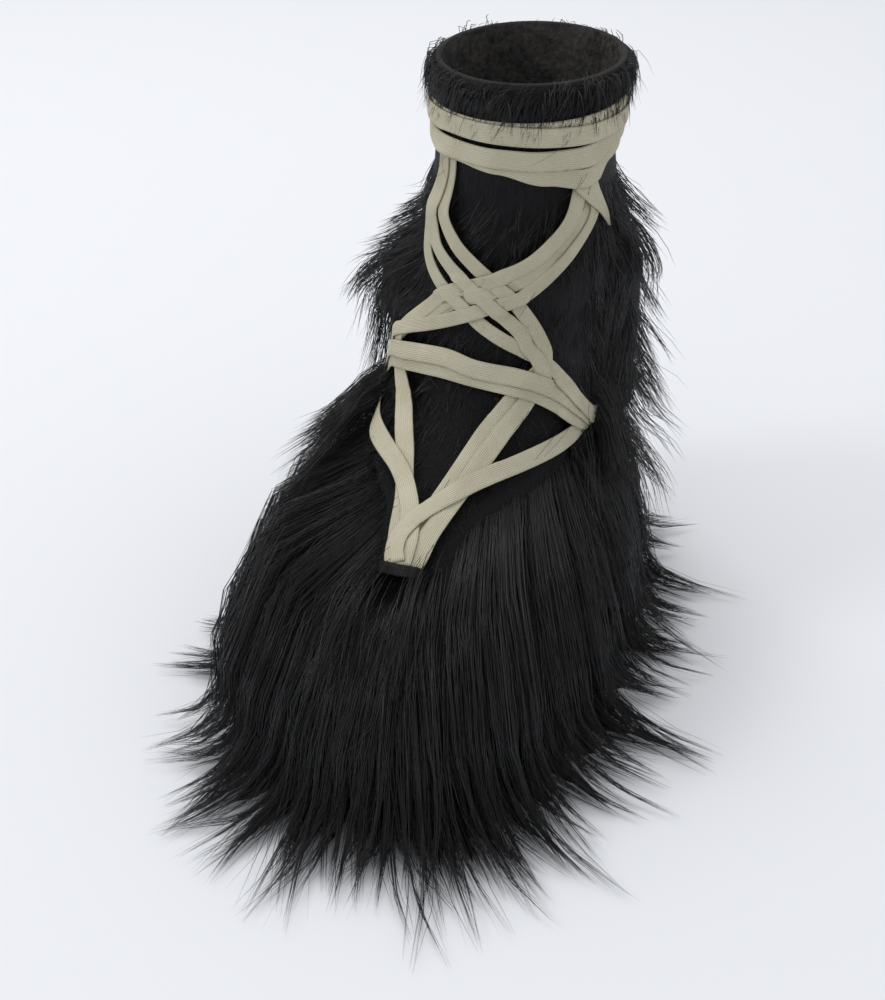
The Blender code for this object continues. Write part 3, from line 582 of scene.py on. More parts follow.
def tube_faces(rows, columns):
    """Quads of a tube of rings, with a cap on each end."""
    first = tuple(range(columns))
    last = tuple((rows - 1) * columns + c for c in first)
    return grid_faces(rows, columns, False, True) + [first[::-1], last]


def run_along(points):
    """Distance of each point from the first, along the points."""
    return np.concatenate([[0], np.cumsum(np.linalg.norm(np.diff(points, axis=0), axis=1))])


def outer_angles(shares):
    """Angles at shares of the way round the foot's outline, at the pelt's outer face."""
    fine = np.linspace(-180, 180, 1441)
    run = run_along(over(fine, np.full(fine.size, 2 * FEATHER), FOOT_PILE))
    return np.interp(np.asarray(shares) * run[-1], run, fine)


# Lay of the foot's hair, from its root line over the bulge and out along the floor
FOOT_FLOW = (
    # run, share of the drop, lift in front, at the sides and on the inner side, as shares of the pile
    (0.00, 0.000, 0.02, 0.02, 0.10),
    (0.05, 0.050, 0.16, 0.20, 0.52),
    (0.13, 0.130, 0.42, 0.55, 0.98),
    (0.24, 0.240, 0.68, 0.92, 1.22),
    (0.38, 0.380, 0.90, 1.10, 1.34),
    (0.52, 0.520, 1.02, 1.18, 1.42),
    (0.66, 0.660, 1.12, 1.24, 1.47),
    (0.80, 0.790, 1.24, 1.32, 1.52),
    (0.92, 0.890, 1.40, 1.44, 1.62),
    (1.05, 0.945, 1.68, 1.68, 1.82),
    (1.20, 0.970, 2.08, 2.06, 2.14),
    (1.40, 0.980, 2.60, 2.60, 2.60),
    (1.60, 0.988, 3.10, 3.10, 3.10),
)
INNER_BULGE = (15, 30, 150, 40)
# Tips of the foot's locks round the boot, from the heel over the inner side and the toe
LOCKS = (
    # angle, reach off the skin
    (-170, 0.092), (-155, 0.104), (-141, 0.086), (-127, 0.106), (-113, 0.094), (-100, 0.110),
    (-87, 0.094), (-74, 0.108), (-60, 0.116), (-46, 0.092), (-36, 0.108), (-27, 0.118),
    (-20, 0.126), (-13, 0.130), (-7, 0.122), (-0.5, 0.062), (5, 0.114), (10, 0.128),
    (15, 0.132), (20, 0.133), (26, 0.122), (33, 0.130), (42, 0.110), (52, 0.120),
    (61, 0.110), (71, 0.124), (82, 0.098), (92, 0.108), (103, 0.100), (115, 0.114),
    (129, 0.094), (143, 0.106), (158, 0.092), (175, 0.104),
)
LOCK_TIPS = np.array([row[0] for row in LOCKS], float)
LOCK_REACH = np.array([row[1] for row in LOCKS])
FLOOR_HEIGHT = 0.0014
LOCK_PULL = 0.82
LOCK_SWING = 1.8
CLUMP_SWING = 4.0
CLUMP_SWAY = 2.6
FRONT_CROWDING = 0.38
VALLEY_RUN = 0.86
# Where the foot's hair starts: just below the tapes' arms, and below the toe loop
HAIR_ROOT = (
    # angle, level
    (-180, 0.83), (-135, 0.80), (-84, 0.800), (-59, 0.785), (-27, 0.765), (-14, 0.69), (-7, 0.588),
    (3, 0.582), (12, 0.66), (25, 0.780), (43, 0.808), (84, 0.812), (135, 0.79), (180, 0.83),
)


def hair_root(angle):
    rows = np.array(HAIR_ROOT)
    return height(np.interp(wrap_angle(angle), rows[:, 0], rows[:, 1]))


def flow_table(run, column):
    """Straight reading of the lay's table, smooth enough for hair."""
    rows = np.array(FOOT_FLOW)
    return np.interp(run, rows[:, 0], rows[:, column])


def foot_lift(angle, run):
    side = mix(flow_table(run, 2), flow_table(run, 3), deepness(angle, root_height(angle)))
    start, rise, end, fall = INNER_BULGE
    angle = wrap_angle(angle)
    inner = ease((-angle - start) / rise) * ease((angle + end) / fall)
    return mix(side, flow_table(run, 4), inner) * FOOT_PILE


def run_for_reach(reach):
    rows = np.array(FOOT_FLOW)
    return np.interp(reach / FOOT_PILE, rows[:, 3], rows[:, 0])


def nearest_lock(angle):
    """Each hair's lock, and how far it is from the lock's middle, 0 to 1."""
    away = wrap_angle(angle[:, None] - LOCK_TIPS[None, :])
    index = np.abs(away).argmin(1)
    after = wrap_angle(np.roll(LOCK_TIPS, -1) - LOCK_TIPS)[index] / 2
    before = wrap_angle(LOCK_TIPS - np.roll(LOCK_TIPS, 1))[index] / 2
    distance = away[np.arange(angle.size), index]
    half = np.where(distance > 0, after, before)
    return index, np.clip(np.abs(distance) / half, 0, 1)


def foot_flow(angle, start, end, layer, pull, steps, swing=0.0, sway=0.0):
    """Angles, heights and lifts of hairs along the foot's lay."""
    index, _ = nearest_lock(angle)
    run = start[:, None] + (end - start)[:, None] * steps[None, :]
    gather = pull[:, None] * ease((run - 0.30) / 0.90)
    turned = angle[:, None] + wrap_angle(LOCK_TIPS[index] - angle)[:, None] * gather
    turned = turned + np.reshape(swing, (-1, 1)) * steps[None, :] ** 2
    turned = turned + np.reshape(sway, (-1, 1)) * np.sin(math.pi * steps)[None, :]
    root = hair_root(turned)
    z = mix(root, FLOOR_HEIGHT, flow_table(run, 1))
    grown = (run - start[:, None]) / (run + 0.03)
    pelt = shaft_pile(turned, z) * (1 - ease(run / 0.25)) * (1 - deepness(turned, root))
    lift = np.maximum(foot_lift(turned, run), pelt)
    return turned, z, lift * np.clip(grown, 0, 1) ** 0.5 * layer[:, None]


def shaft_flow(angle, z0, length, layer, slant, steps, hang=0.0):
    """Angles, heights and lifts of hairs of the shaft's pelt, which lie downwards.

    Long hair, and hair with a hang of 1, doesn't sink back where the pelt gets thinner.
    """
    rise = 0.001
    reach = np.linalg.norm(over(angle, z0 + rise, 0.004) - over(angle, z0 - rise, 0.004), axis=1)
    stretch = np.maximum(reach / (2 * rise), 0.7)
    fall = length / stretch / np.sqrt(1 + slant ** 2)
    z = np.maximum(z0[:, None] - fall[:, None] * steps[None, :], 0.004)
    sideways = length * slant / np.sqrt(1 + slant ** 2)
    turned = angle[:, None] + np.degrees(sideways / (SHAFT_WIDTH / 2))[:, None] * steps[None, :]
    pile = shaft_pile(turned, z)
    lift = pile * layer[:, None] * np.clip(steps[None, :] + 0.02, 0, 1) ** 0.62
    hanging = np.maximum.accumulate(lift, axis=1)
    return turned, z, mix(lift, hanging, np.maximum(ease(pile[:, :1] / DEEP_PILE * 1.6), hang))


def strands(name, points, girth, marks, material):
    """Hairs as thin three-sided rods swept along their paths."""
    count, per = points.shape[:2]
    mesh = bpy.data.meshes.new(name)
    mesh.vertices.add(count * per)
    mesh.vertices.foreach_set("co", points.astype(np.float32).ravel())
    first = (np.arange(count)[:, None] * per + np.arange(per - 1)[None, :]).ravel()
    mesh.edges.add(first.size)
    mesh.edges.foreach_set("vertices", np.stack([first, first + 1], 1).astype(np.int32).ravel())
    for key, values in {"girth": girth, **marks}.items():
        layer = mesh.attributes.new(key, "FLOAT", "POINT")
        layer.data.foreach_set("value", np.broadcast_to(values, (count, per)).astype(np.float32).ravel())
    mesh.update()
    thing = bpy.data.objects.new(name, mesh)
    bpy.context.scene.collection.objects.link(thing)
    return swept(thing, material)


def sweep_tree():
    """Geometry nodes that turn paths into rods of a given number of sides."""
    tree = bpy.data.node_groups.new("hair_sweep", "GeometryNodeTree")
    sockets = {}
    for label, kind, way in (("Geometry", "NodeSocketGeometry", "INPUT"),
                             ("Sides", "NodeSocketInt", "INPUT"),
                             ("Thickness", "NodeSocketFloat", "INPUT"),
                             ("Material", "NodeSocketMaterial", "INPUT"),
                             ("Mesh", "NodeSocketGeometry", "OUTPUT")):
        item = tree.interface.new_socket(label, in_out=way, socket_type=kind)
        sockets[label] = item.identifier

    def add(kind, settings=(), **links):
        node = tree.nodes.new(kind)
        for key, value in dict(settings).items():
            setattr(node, key, value)
        for key, value in links.items():
            socket = node.inputs[key.replace("_", " ")]
            if isinstance(value, bpy.types.NodeSocket):
                tree.links.new(value, socket)
            else:
                socket.default_value = value
        return node

    given = add("NodeGroupInput").outputs
    girth = add("GeometryNodeInputNamedAttribute", {"data_type": "FLOAT"}, Name="girth").outputs[0]
    scale = add("ShaderNodeMath", {"operation": "MULTIPLY"})
    tree.links.new(girth, scale.inputs[0])
    tree.links.new(given["Thickness"], scale.inputs[1])
    paths = add("GeometryNodeMeshToCurve", Mesh=given["Geometry"]).outputs[0]
    ring = add("GeometryNodeCurvePrimitiveCircle", Resolution=given["Sides"], Radius=1.0).outputs[0]
    rods = add("GeometryNodeCurveToMesh", Curve=paths, Profile_Curve=ring, Scale=scale.outputs[0],
               Fill_Caps=True).outputs[0]
    soft = add("GeometryNodeSetShadeSmooth", Geometry=rods, Shade_Smooth=True).outputs[0]
    real = add("GeometryNodeRealizeInstances", Geometry=soft).outputs[0]
    painted = add("GeometryNodeSetMaterial", Geometry=real, Material=given["Material"]).outputs[0]
    add("NodeGroupOutput", Mesh=painted)
    return tree, sockets


SWEEP, SWEEP_SOCKETS = sweep_tree()


def swept(thing, material):
    """Replace paths by the rods that the sweep makes of them, as a plain mesh."""
    modifier = thing.modifiers.new("sweep", "NODES")
    modifier.node_group = SWEEP
    modifier[SWEEP_SOCKETS["Sides"]] = 3
    modifier[SWEEP_SOCKETS["Thickness"]] = 1.0
    modifier[SWEEP_SOCKETS["Material"]] = material
    bpy.context.view_layer.update()
    evaluated = thing.evaluated_get(bpy.context.evaluated_depsgraph_get())
    mesh = bpy.data.meshes.new_from_object(evaluated)
    thing.modifiers.remove(modifier)
    paths = thing.data
    thing.data = mesh
    bpy.data.meshes.remove(paths)
    return thing


def rod_girth(thickest, steps, root=0.65, tip=0.08):
    """Half thickness of hairs along them: fullest at a third, drawn out to the tip."""
    swell = np.interp(steps, (0, 0.3, 0.8, 1), (root, 1, 0.85, tip))
    return thickest[:, None] * swell[None, :]


def bent(points, chance, reach, steps):
    """Bend each hair its own way, more towards its tip."""
    count = points.shape[0]
    way = chance.normal(size=(count, 1, 3)) * (1, 1, 0.45)
    wave = chance.normal(size=(count, 1, 3)) * (1, 1, 0.45)
    phase = np.sin(steps * math.pi * 1.6)[None, :, None]
    grow = (steps ** 1.7)[None, :, None]
    points = points + reach * (way * grow + 0.35 * wave * phase * grow ** 0.5)
    points[:, :, 2] = np.maximum(points[:, :, 2], FLOOR_HEIGHT * 0.6)
    return points


def gathered(hairs, guides, owner, pull, share, steps, power=1.1):
    """Draw hairs towards a share of their clump's guide hair, more towards the tip."""
    weight = pull[:, None] * (steps ** power)[None, :]
    place = share[:, None] * np.arange(steps.size)[None, :]
    low = np.minimum(place.astype(int), steps.size - 2)
    owner = owner[:, None]
    led = [mix(guide[owner, low], guide[owner, low + 1], place - low) for guide in guides]
    return [mix(own, lead, weight) for own, lead in zip(hairs, led)]


def hair_marks(chance, owner, steps, tone_and_sheen=None):
    """What the hair's material reads: a value for each hair, one for its clump, and the way along."""
    strand = chance.random(owner.size)
    if tone_and_sheen is None:
        tone_and_sheen = chance.random(owner[-1] + 1)
    return {"strand": strand[:, None], "clump": tone_and_sheen[owner][:, None], "along": steps[None, :]}


def grow_foot(material):
    """Long hair of the foot, in clumps that gather into the locks."""
    chance = np.random.default_rng(7)
    clumps, toe_clumps, per = 680, 44, 17
    steps = np.linspace(0, 1, 6) ** 0.92
    where = (np.arange(clumps) + chance.random(clumps)) / clumps
    where = 0.5 + (where - 0.5) * (1 - FRONT_CROWDING * (1 - np.abs(2 * where - 1)))
    where = np.sort(np.concatenate([where, 0.5 + (chance.random(toe_clumps) - 0.52) * 0.055]))
    clumps += toe_clumps
    clump_angle = outer_angles(where)
    clump_start = 0.62 * chance.random(clumps) ** mix(1.9, 3.5, np.abs(where - 0.5) < 0.03)
    index, off = nearest_lock(clump_angle)
    tip_run = run_for_reach(LOCK_REACH[index] * mix(1.08, 0.86, chance.random(clumps) ** 1.3))
    valley = np.minimum(VALLEY_RUN + 0.16 * chance.random(clumps), tip_run)
    clump_end = mix(tip_run, valley, off ** 2.6) + chance.normal(size=clumps) * 0.03
    clump_layer = mix(1.02, 0.78, chance.random(clumps) ** 1.5) * mix(1.04, 0.86, off ** 1.5)
    pull = LOCK_PULL * mix(1.15, 0.55, chance.random(clumps) ** 2)
    swing = chance.normal(size=clumps) * CLUMP_SWING * mix(0.3, 1, chance.random(clumps) ** 2)
    swing = swing + (chance.normal(size=len(LOCKS)) * LOCK_SWING)[index]
    sway = chance.normal(size=clumps) * CLUMP_SWAY
    guides = foot_flow(clump_angle, clump_start, clump_end, clump_layer, pull, steps, swing, sway)
    owner = np.repeat(np.arange(clumps), per)
    count = owner.size
    spread = where[owner] + chance.normal(size=count) * 0.0052
    angle = outer_angles(spread % 1.0)
    start = np.clip(clump_start[owner] + chance.normal(size=count) * 0.04, 0, 0.75)
    end = clump_end[owner] + chance.normal(size=count) * 0.035 - 0.14 * chance.random(count) ** 3
    layer = clump_layer[owner] * mix(1.03, 0.82, chance.random(count))
    hairs = foot_flow(angle, start, end, layer, pull[owner], steps, swing[owner], sway[owner])
    hairs = (guides[0][owner] + wrap_angle(hairs[0] - guides[0][owner]), *hairs[1:])
    loose = chance.random(count) < 0.10
    hold = np.where(loose, 0.40, mix(0.99, 0.80, chance.random(count) ** 1.5))
    share = mix(1.0, 0.72, chance.random(count) ** 1.6)
    angle, z, lift = gathered(hairs, guides, owner, hold, share, steps)
    points = over(angle, z, np.maximum(lift, 0.0006))
    points = bent(points, chance, np.where(loose, 0.0060, 0.0009)[:, None, None], steps)
    girth = rod_girth(np.where(loose, 0.00014, mix(0.00019, 0.00030, chance.random(count))), steps)
    # Each clump's tone, shared in part by its whole lock: partly the hair's own tone, partly painted sheen
    # and shade that sets the locks apart.
    tone_and_sheen = mix(chance.random(clumps), chance.random(len(LOCKS))[index], 0.45)
    marks = hair_marks(chance, owner, steps, tone_and_sheen)
    pieces = []
    for number, part in enumerate(np.array_split(np.arange(count), 3)):
        chosen = {key: value[part] if len(value) == count else value for key, value in marks.items()}
        name = ("hair_foot_inner", "hair_foot_toe", "hair_foot_outer")[number]
        pieces.append(strands(name, points[part], girth[part], chosen, material))
    return pieces


def slant_of(angle, level):
    """Sideways lean of the shaft's hair as it runs down: to the inner side in front."""
    angle = wrap_angle(angle)
    front = ease((70 - np.abs(angle)) / 30)
    high = ease((level - 1.05) / 0.25)
    spread = np.clip((angle + 3) / 30, -1, 1) * 0.55
    inner = ease((-angle - 50) / 12) * ease((100 + angle) / 25) * high
    return mix(spread, -0.42, high) * front - 0.2 * inner


def grow_shaft(name, clumps, per, places, chance, sizes, material, segments):
    """Hair of the shaft's pelt. Places are the clumps' angles and heights."""
    steps = np.linspace(0, 1, segments) ** 0.9
    clump_angle, clump_z = places
    pile = shaft_pile(clump_angle, clump_z)
    length = np.clip(sizes["base"] + sizes["share"] * pile, sizes["base"], sizes["most"])
    length = length * mix(0.75, 1.2, chance.random(clumps))
    lean = slant_of(clump_angle, level_of(clump_z)) + chance.normal(size=clumps) * sizes["stray"]
    clump_layer = mix(sizes["full"], 0.72, chance.random(clumps) ** 1.4)
    hang = sizes.get("hang", 0.0)
    guides = shaft_flow(clump_angle, clump_z, length, clump_layer, lean, steps, hang)
    owner = np.repeat(np.arange(clumps), per)
    count = owner.size
    around = np.degrees(sizes["spread"] / (SHAFT_WIDTH / 2))
    angle = clump_angle[owner] + chance.normal(size=count) * around
    z = clump_z[owner] + chance.normal(size=count) * sizes["spread"]
    own = length[owner] * mix(0.72, 1.12, chance.random(count))
    layer = clump_layer[owner] * mix(1.04, 0.80, chance.random(count))
    hairs = shaft_flow(angle, z, own, layer, lean[owner], steps, hang)
    loose = chance.random(count) < 0.13
    hold = np.where(loose, 0.25, mix(0.97, 0.62, chance.random(count) ** 1.4))
    share = mix(1.0, 0.70, chance.random(count) ** 1.5)
    angle, z, lift = gathered(hairs, guides, owner, hold, share, steps)
    z = z + sizes.get("rise", 0.0) * np.sin(math.pi * steps)[None, :]
    points = over(angle, z, np.maximum(lift, 0.0005))
    bend = np.where(loose, sizes["bend"] * 2.6, sizes["bend"])[:, None, None]
    points = bent(points, chance, bend, steps)
    thick = np.where(loose, 0.55, mix(0.7, 1.1, chance.random(count))) * sizes["girth"]
    return strands(name, points, rod_girth(thick, steps), hair_marks(chance, owner, steps), material)


ROOTS_UP_TO = 1.668
COLLAR_LOW = 0.3090


def scattered(chance, count, low_angle, high_angle, low, high):
    """Even places on a stretch of the shaft, by angle and height."""
    order = np.arange(count)
    angle = mix(low_angle, high_angle, (order + chance.random(count)) / count)
    share = (order * 0.61803398875 + 0.25 * chance.random(count)) % 1.0
    z = mix(low(angle), high(angle), share)
    return angle, z


def grow_pelts(material):
    """All hair of the shaft and the instep."""
    deep = {"base": 0.020, "share": 1.55, "most": 0.088, "stray": 0.12, "spread": 0.0034,
            "bend": 0.0026, "girth": 0.00024}
    short = {"base": 0.013, "share": 1.15, "most": 0.040, "stray": 0.22, "spread": 0.0024,
             "full": 1.08, "bend": 0.0012, "girth": 0.00019}
    collar = {"base": 0.013, "share": 0.5, "most": 0.018, "stray": 0.20, "spread": 0.0024,
              "full": 1.25, "bend": 0.0016, "girth": 0.00024, "hang": 1.0, "rise": 0.005}
    wrap_low = float(height(ROOTS_UP_TO))
    pieces = []

    def below(angle):
        return root_height(angle) - 0.004

    def above(angle):
        return np.full_like(angle, wrap_low)

    for name, start, end, seed, full in (("hair_shaft_outer", 72, 182, 31, 1.50),
                                         ("hair_shaft_inner", -182, -56, 37, 1.20)):
        chance = np.random.default_rng(seed)
        places = scattered(chance, 225, start, end, below, above)
        pieces.append(grow_shaft(name, 225, 17, places, chance, {**deep, "full": full}, material, 6))
    for name, start, end, seed in (("hair_instep_outer", 0, 90, 41), ("hair_instep_inner", -84, 0, 43)):
        chance = np.random.default_rng(seed)
        places = scattered(chance, 330, start, end, below, above)
        pieces.append(grow_shaft(name, 330, 8, places, chance, short, material, 5))
    chance = np.random.default_rng(47)
    places = scattered(chance, 330, -180, 180, lambda a: np.full_like(a, COLLAR_LOW),
                       lambda a: np.full_like(a, BOOT_HEIGHT - 0.0005))
    pieces.append(grow_shaft("hair_collar", 330, 9, places, chance, collar, material, 4))
    return pieces


TUFTS = (
    # clumps, first and last angle, lowest and highest level, least and most length, turn, lift
    (22, 86, 106, 0.90, 1.04, 0.036, 0.060, -9, 0.011),
    (16, -64, -84, 0.90, 1.06, 0.036, 0.062, 6, 0.012),
    (28, -84, -106, 0.89, 1.00, 0.036, 0.058, 7, 0.013),
    (7, -11, -6, 0.61, 0.65, 0.034, 0.050, 6, 0.012),
    (7, 5, 11, 0.61, 0.65, 0.034, 0.050, -6, 0.012),
)


def grow_tufts(material):
    """Tufts of the long hair that fall over the loops and the tapes' ends."""
    chance = np.random.default_rng(61)
    per = 13
    steps = np.linspace(0, 1, 6)
    kinds = np.repeat(np.arange(len(TUFTS)), [row[0] for row in TUFTS])
    clumps = kinds.size
    owner = np.repeat(np.arange(clumps), per)
    first, last, low, high, short, long, turn, room = np.array([row[1:] for row in TUFTS])[kinds].T
    clump_angle = mix(first, last, chance.random(clumps))
    clump_z = height(mix(low, high, chance.random(clumps)))
    length = mix(short, long, chance.random(clumps))
    forward = turn * mix(-0.2, 1, chance.random(clumps))
    crown = short_pile(clump_angle, clump_z) + room + mix(0.0, 0.005, chance.random(clumps))

    def fall(angle, z0, reach, swing, top):
        z = z0[:, None] - reach[:, None] * steps[None, :]
        lift = top[:, None] * np.clip(steps[None, :] / 0.34 + 0.03, 0, 1) ** 0.6
        return angle[:, None] + swing[:, None] * steps[None, :] ** 1.5, z, lift * (1 + 0.9 * steps ** 2)

    guides = fall(clump_angle, clump_z, length, forward, crown)
    count = owner.size
    hairs = fall(clump_angle[owner] + chance.normal(size=count) * 3.4,
                 clump_z[owner] + chance.normal(size=count) * 0.003, length[owner], forward[owner],
                 crown[owner] * mix(0.82, 1.06, chance.random(count)))
    hold, share = mix(0.98, 0.5, chance.random(count)), mix(1.0, 0.7, chance.random(count))
    angle, z, lift = gathered(hairs, guides, owner, hold, share, steps)
    points = bent(over(angle, z, lift), chance, 0.0022, steps)
    girth = rod_girth(mix(0.00015, 0.00025, chance.random(count)), steps)
    return strands("hair_tufts", points, girth, hair_marks(chance, owner, steps), material)


UNDERFUR_START = 0.30
UNDERFUR_RUN = 0.42


def underfur_foot(material):
    """The dense mass under the foot's long hair, drawn out into the cores of the locks."""
    count = 288
    angles = outer_angles(np.arange(count) / count)
    index, off = nearest_lock(angles)
    tip = run_for_reach(LOCK_REACH[index] * 0.76)
    end = mix(tip, np.minimum(0.78, tip), ease(off * 1.25))
    start, pull = np.zeros(count), np.full(count, LOCK_PULL * 0.9)
    steps = np.array((0.0, 0.05, 0.12, 0.22, 0.34, 0.46, 0.58, 0.70, 0.80, 0.88, 0.94, 1.0))
    low_start = mix(UNDERFUR_START, 1, ease(end[:, None] * steps / UNDERFUR_RUN))
    ridge = mix(0.97, 0.86, off ** 2)
    turned, z, lift = foot_flow(angles, start, end, 0.80 * ridge, pull, steps)
    flow_lift = foot_lift(turned, end[:, None] * steps) * (0.80 * ridge)[:, None] * low_start
    top = over(turned, z, np.maximum(flow_lift, 0.0012)).transpose(1, 0, 2)
    rows = list(top)
    for share, drop in ((1.0, 0.0012), (0.8, 0.003), (0.55, 0.006)):
        under = top[-1] * share + top[6] * (1 - share)
        under[:, 2] = np.maximum(np.minimum(under[:, 2], top[-1][:, 2]) - drop, 0.0007)
        rows.append(under)
    rows.append(over(angles, np.full(count, 0.0040), np.full(count, 0.012)))
    for z_low in (0.4 * FEATHER, FEATHER + 0.0008):
        rows.append(over(angles, np.full(count, z_low), np.full(count, 0.0034)))
    for share in (0.0, 0.25, 0.5, 0.75, 1.0):
        z_in = mix(FEATHER + 0.0016, hair_root(angles) - 0.0012, share)
        rows.append(over(angles, z_in, np.full(count, 0.0006)))
    points = np.array(rows)[::-1]
    faces = grid_faces(len(rows), count, True, True)
    return mesh_piece("underfur_foot", points.reshape(-1, 3), faces, [material])


def underfur_shaft(material):
    """The dense mass of the shaft's pelt. In front it runs down under the foot's hair."""
    count = 120
    angles = outer_angles(np.arange(count) / count)
    top = BOOT_HEIGHT - 0.0022
    low = root_height(angles) - 0.004
    rows = []
    for share in np.linspace(0, 1, 30):
        z = mix(top, low, share)
        full = mix(0.84, 0.62, innerness(angles)) * mix(1, 0.55, ease((level_of(z) - 1.36) / 0.16))
        rows.append(over(angles, z, np.maximum(shaft_pile(angles, z) * full - 0.0004, 0.0012)))
    pile = shaft_pile(angles, low)
    for drop, share in ((0.25, 0.60), (0.38, 0.36), (0.30, 0.14)):
        rows.append(over(angles, low - drop * pile, np.maximum(pile * share, 0.0014)))
    for share in np.linspace(0, 1, 12):
        z = mix(low, top, share)
        rows.append(over(angles, z, np.full(count, 0.0006)))
    points = np.array(rows)[::-1]
    faces = grid_faces(len(rows), count, True, True)
    return mesh_piece("underfur_shaft", points.reshape(-1, 3), faces, [material])


def make_upper(suede, lining):
    """The hollow upper: outside, rolled collar edge and lined inside, as one closed wall."""
    columns, rows = 96, 34
    angles = outer_angles(np.arange(columns) / columns)
    heights = mix(FEATHER, BOOT_HEIGHT, np.linspace(0, 1, rows))
    loops = [over(angles, np.full(columns, z), 0.0) for z in heights]
    for turn in (30, 60, 90, 120, 150):
        lift = -UPPER_WALL / 2 * (1 - math.cos(math.radians(turn)))
        rim = over(angles, np.full(columns, BOOT_HEIGHT), lift)
        rim[:, 2] += UPPER_WALL / 4 * math.sin(math.radians(turn))
        loops.append(rim)
    outside = len(loops) - 1
    loops += [over(angles, np.full(columns, z), -UPPER_WALL) for z in heights[::-1]]
    points = np.array(loops)
    faces = grid_faces(len(loops), columns, True, True)
    upper = mesh_piece("upper_shell", points.reshape(-1, 3), faces, [suede, lining])
    slots = np.zeros(len(faces), np.int32)
    slots[outside * columns:(len(loops) - 1) * columns] = 1
    upper.data.polygons.foreach_set("material_index", slots)
    return upper


# The tape's own section and the way it lies
TAPE_BODY = 0.0011
DRAWN_WIDTH = 0.0100
WOVEN_WIDTH = 0.78
WIDE_BELOW = 1.06
NARROW_RUN = 0.14
STATION = 0.0022
TAPE_PROFILE = (
    # place across the tape from -1 to 1, height as a share of its half thickness
    (-1.00, 0.35), (-0.93, 0.85), (-0.70, 1.00), (-0.35, 0.96), (0.00, 1.00), (0.35, 0.96),
    (0.70, 1.00), (0.93, 0.85), (1.00, 0.35), (1.00, -0.35), (0.93, -0.85), (0.45, -1.00),
    (-0.45, -1.00), (-0.93, -0.85), (-1.00, -0.35),
)


def fine_route(points, step=STATION):
    """Angles and heights along a route, on a smooth curve through its points, evenly spaced."""
    places = np.array([(angle, float(height(level))) for angle, level in points])
    ends = np.vstack([2 * places[0] - places[1], places, 2 * places[-1] - places[-2]])
    fine = []
    for before, start, end, after in zip(ends, ends[1:], ends[2:], ends[3:]):
        t = np.linspace(0, 1, 24, endpoint=False)[:, None]
        bend = (end - before) * t + (2 * before - 5 * start + 4 * end - after) * t ** 2
        fine.append(start + 0.5 * (bend + (3 * start - before - 3 * end + after) * t ** 3))
    fine = np.vstack(fine + [places[-1:]])
    run = run_along(over(fine[:, 0], fine[:, 1], SHORT_PILE))
    places = np.linspace(0, run[-1], max(3, round(run[-1] / step) + 1))
    return np.interp(places, run, fine[:, 0]), np.interp(places, run, fine[:, 1]), places


def across_step(angle, z, half):
    """Steps in angle and height from a tape's middle to its edge."""
    middle = over(angle, z, SHORT_PILE)
    side = unit(np.cross(outward(angle, z), np.gradient(middle, axis=0))) * half
    turn, rise = 1.0, 0.001
    by_turn = (over(angle + turn, z, SHORT_PILE) - over(angle - turn, z, SHORT_PILE)) / (2 * turn)
    by_rise = (over(angle, z + rise, SHORT_PILE) - over(angle, z - rise, SHORT_PILE)) / (2 * rise)
    tt, rr, tr = ((a * b).sum(1) for a, b in ((by_turn, by_turn), (by_rise, by_rise), (by_turn, by_rise)))
    a, b = (by_turn * side).sum(1), (by_rise * side).sum(1)
    scale = tt * rr - tr * tr
    return (a * rr - b * tr) / scale, (b * tt - a * tr) / scale


WRAP_EDGE = (
    (-180, 1.745), (-90, 1.765), (-30, 1.760), (0, 1.743), (30, 1.709),
    (50, 1.692), (75, 1.730), (120, 1.750), (180, 1.745),
)
# Turns of the tape round the shaft, from the innermost out
WRAP_TURNS = {
    # name: rise over the lower edge, share of the edge's dip, lean, lean's angle
    "wrap_low": (0.0058, 1.0, 0.0000, 0),
    "wrap_top": (0.0236, 0.05, 0.0016, 70),
    "wrap_middle": (0.0100, 0.30, 0.0016, 60),
    "wrap_high": (0.0180, 0.10, 0.0030, -110),
}
WRAP_MEAN_EDGE = 1.748
# Near the wrap the tapes press the pelt flat
PRESS_FROM = 1.60
PRESS_RUN = 0.10
PRESSED_BED = 0.45
PRESSED_GAP = 0.0003
ACROSS = np.linspace(-1, 1, 7)
TOUCH = 0.0020
BESIDE_TOUCH = 0.0012
STEP_UP = 0.00130
MOST_UP = 4.2
ROUNDS = 16
LAST_ROUNDS = 8
WOVEN_STEP = 0.0018
BESIDE_STEP = 0.00028


def wrap_route(name):
    rise, dip, lean, lean_angle = WRAP_TURNS[name]
    angle = outer_angles(np.linspace(0, 1, 145))
    edge = height(mix(WRAP_MEAN_EDGE, table(WRAP_EDGE, angle), dip))
    z = edge + rise + lean * np.sin(np.radians(angle - lean_angle))
    return angle, z, run_along(over(angle, z, SHORT_PILE))


def lies_on(under, upper, level):
    """Whether the second tape lies on the first at a level."""
    turns = list(WRAP_TURNS)
    if upper in turns or under in turns:
        on = upper in turns and (under not in turns or turns.index(upper) > turns.index(under))
        return np.full(level.shape, on)
    named = (under, upper) in LAID_ON
    right = {under, upper} & set(RIGHT_RISING)
    left = {under, upper} & set(LEFT_RISING)
    if not (right and left):
        beside = len(right) == 2 or len(left) == 2
        return named & ~(beside & (level > WEAVE_FROM) & (level < WEAVE_TO))
    right, left = right.pop(), left.pop()
    right_wins = (RIGHT_RISING.index(right) + LEFT_RISING.index(left)) % 2 == 0
    woven = upper == (right if right_wins else left)
    known = named or (upper, under) in LAID_ON
    return np.where(level > WEAVE_FROM, woven, named if known else woven)


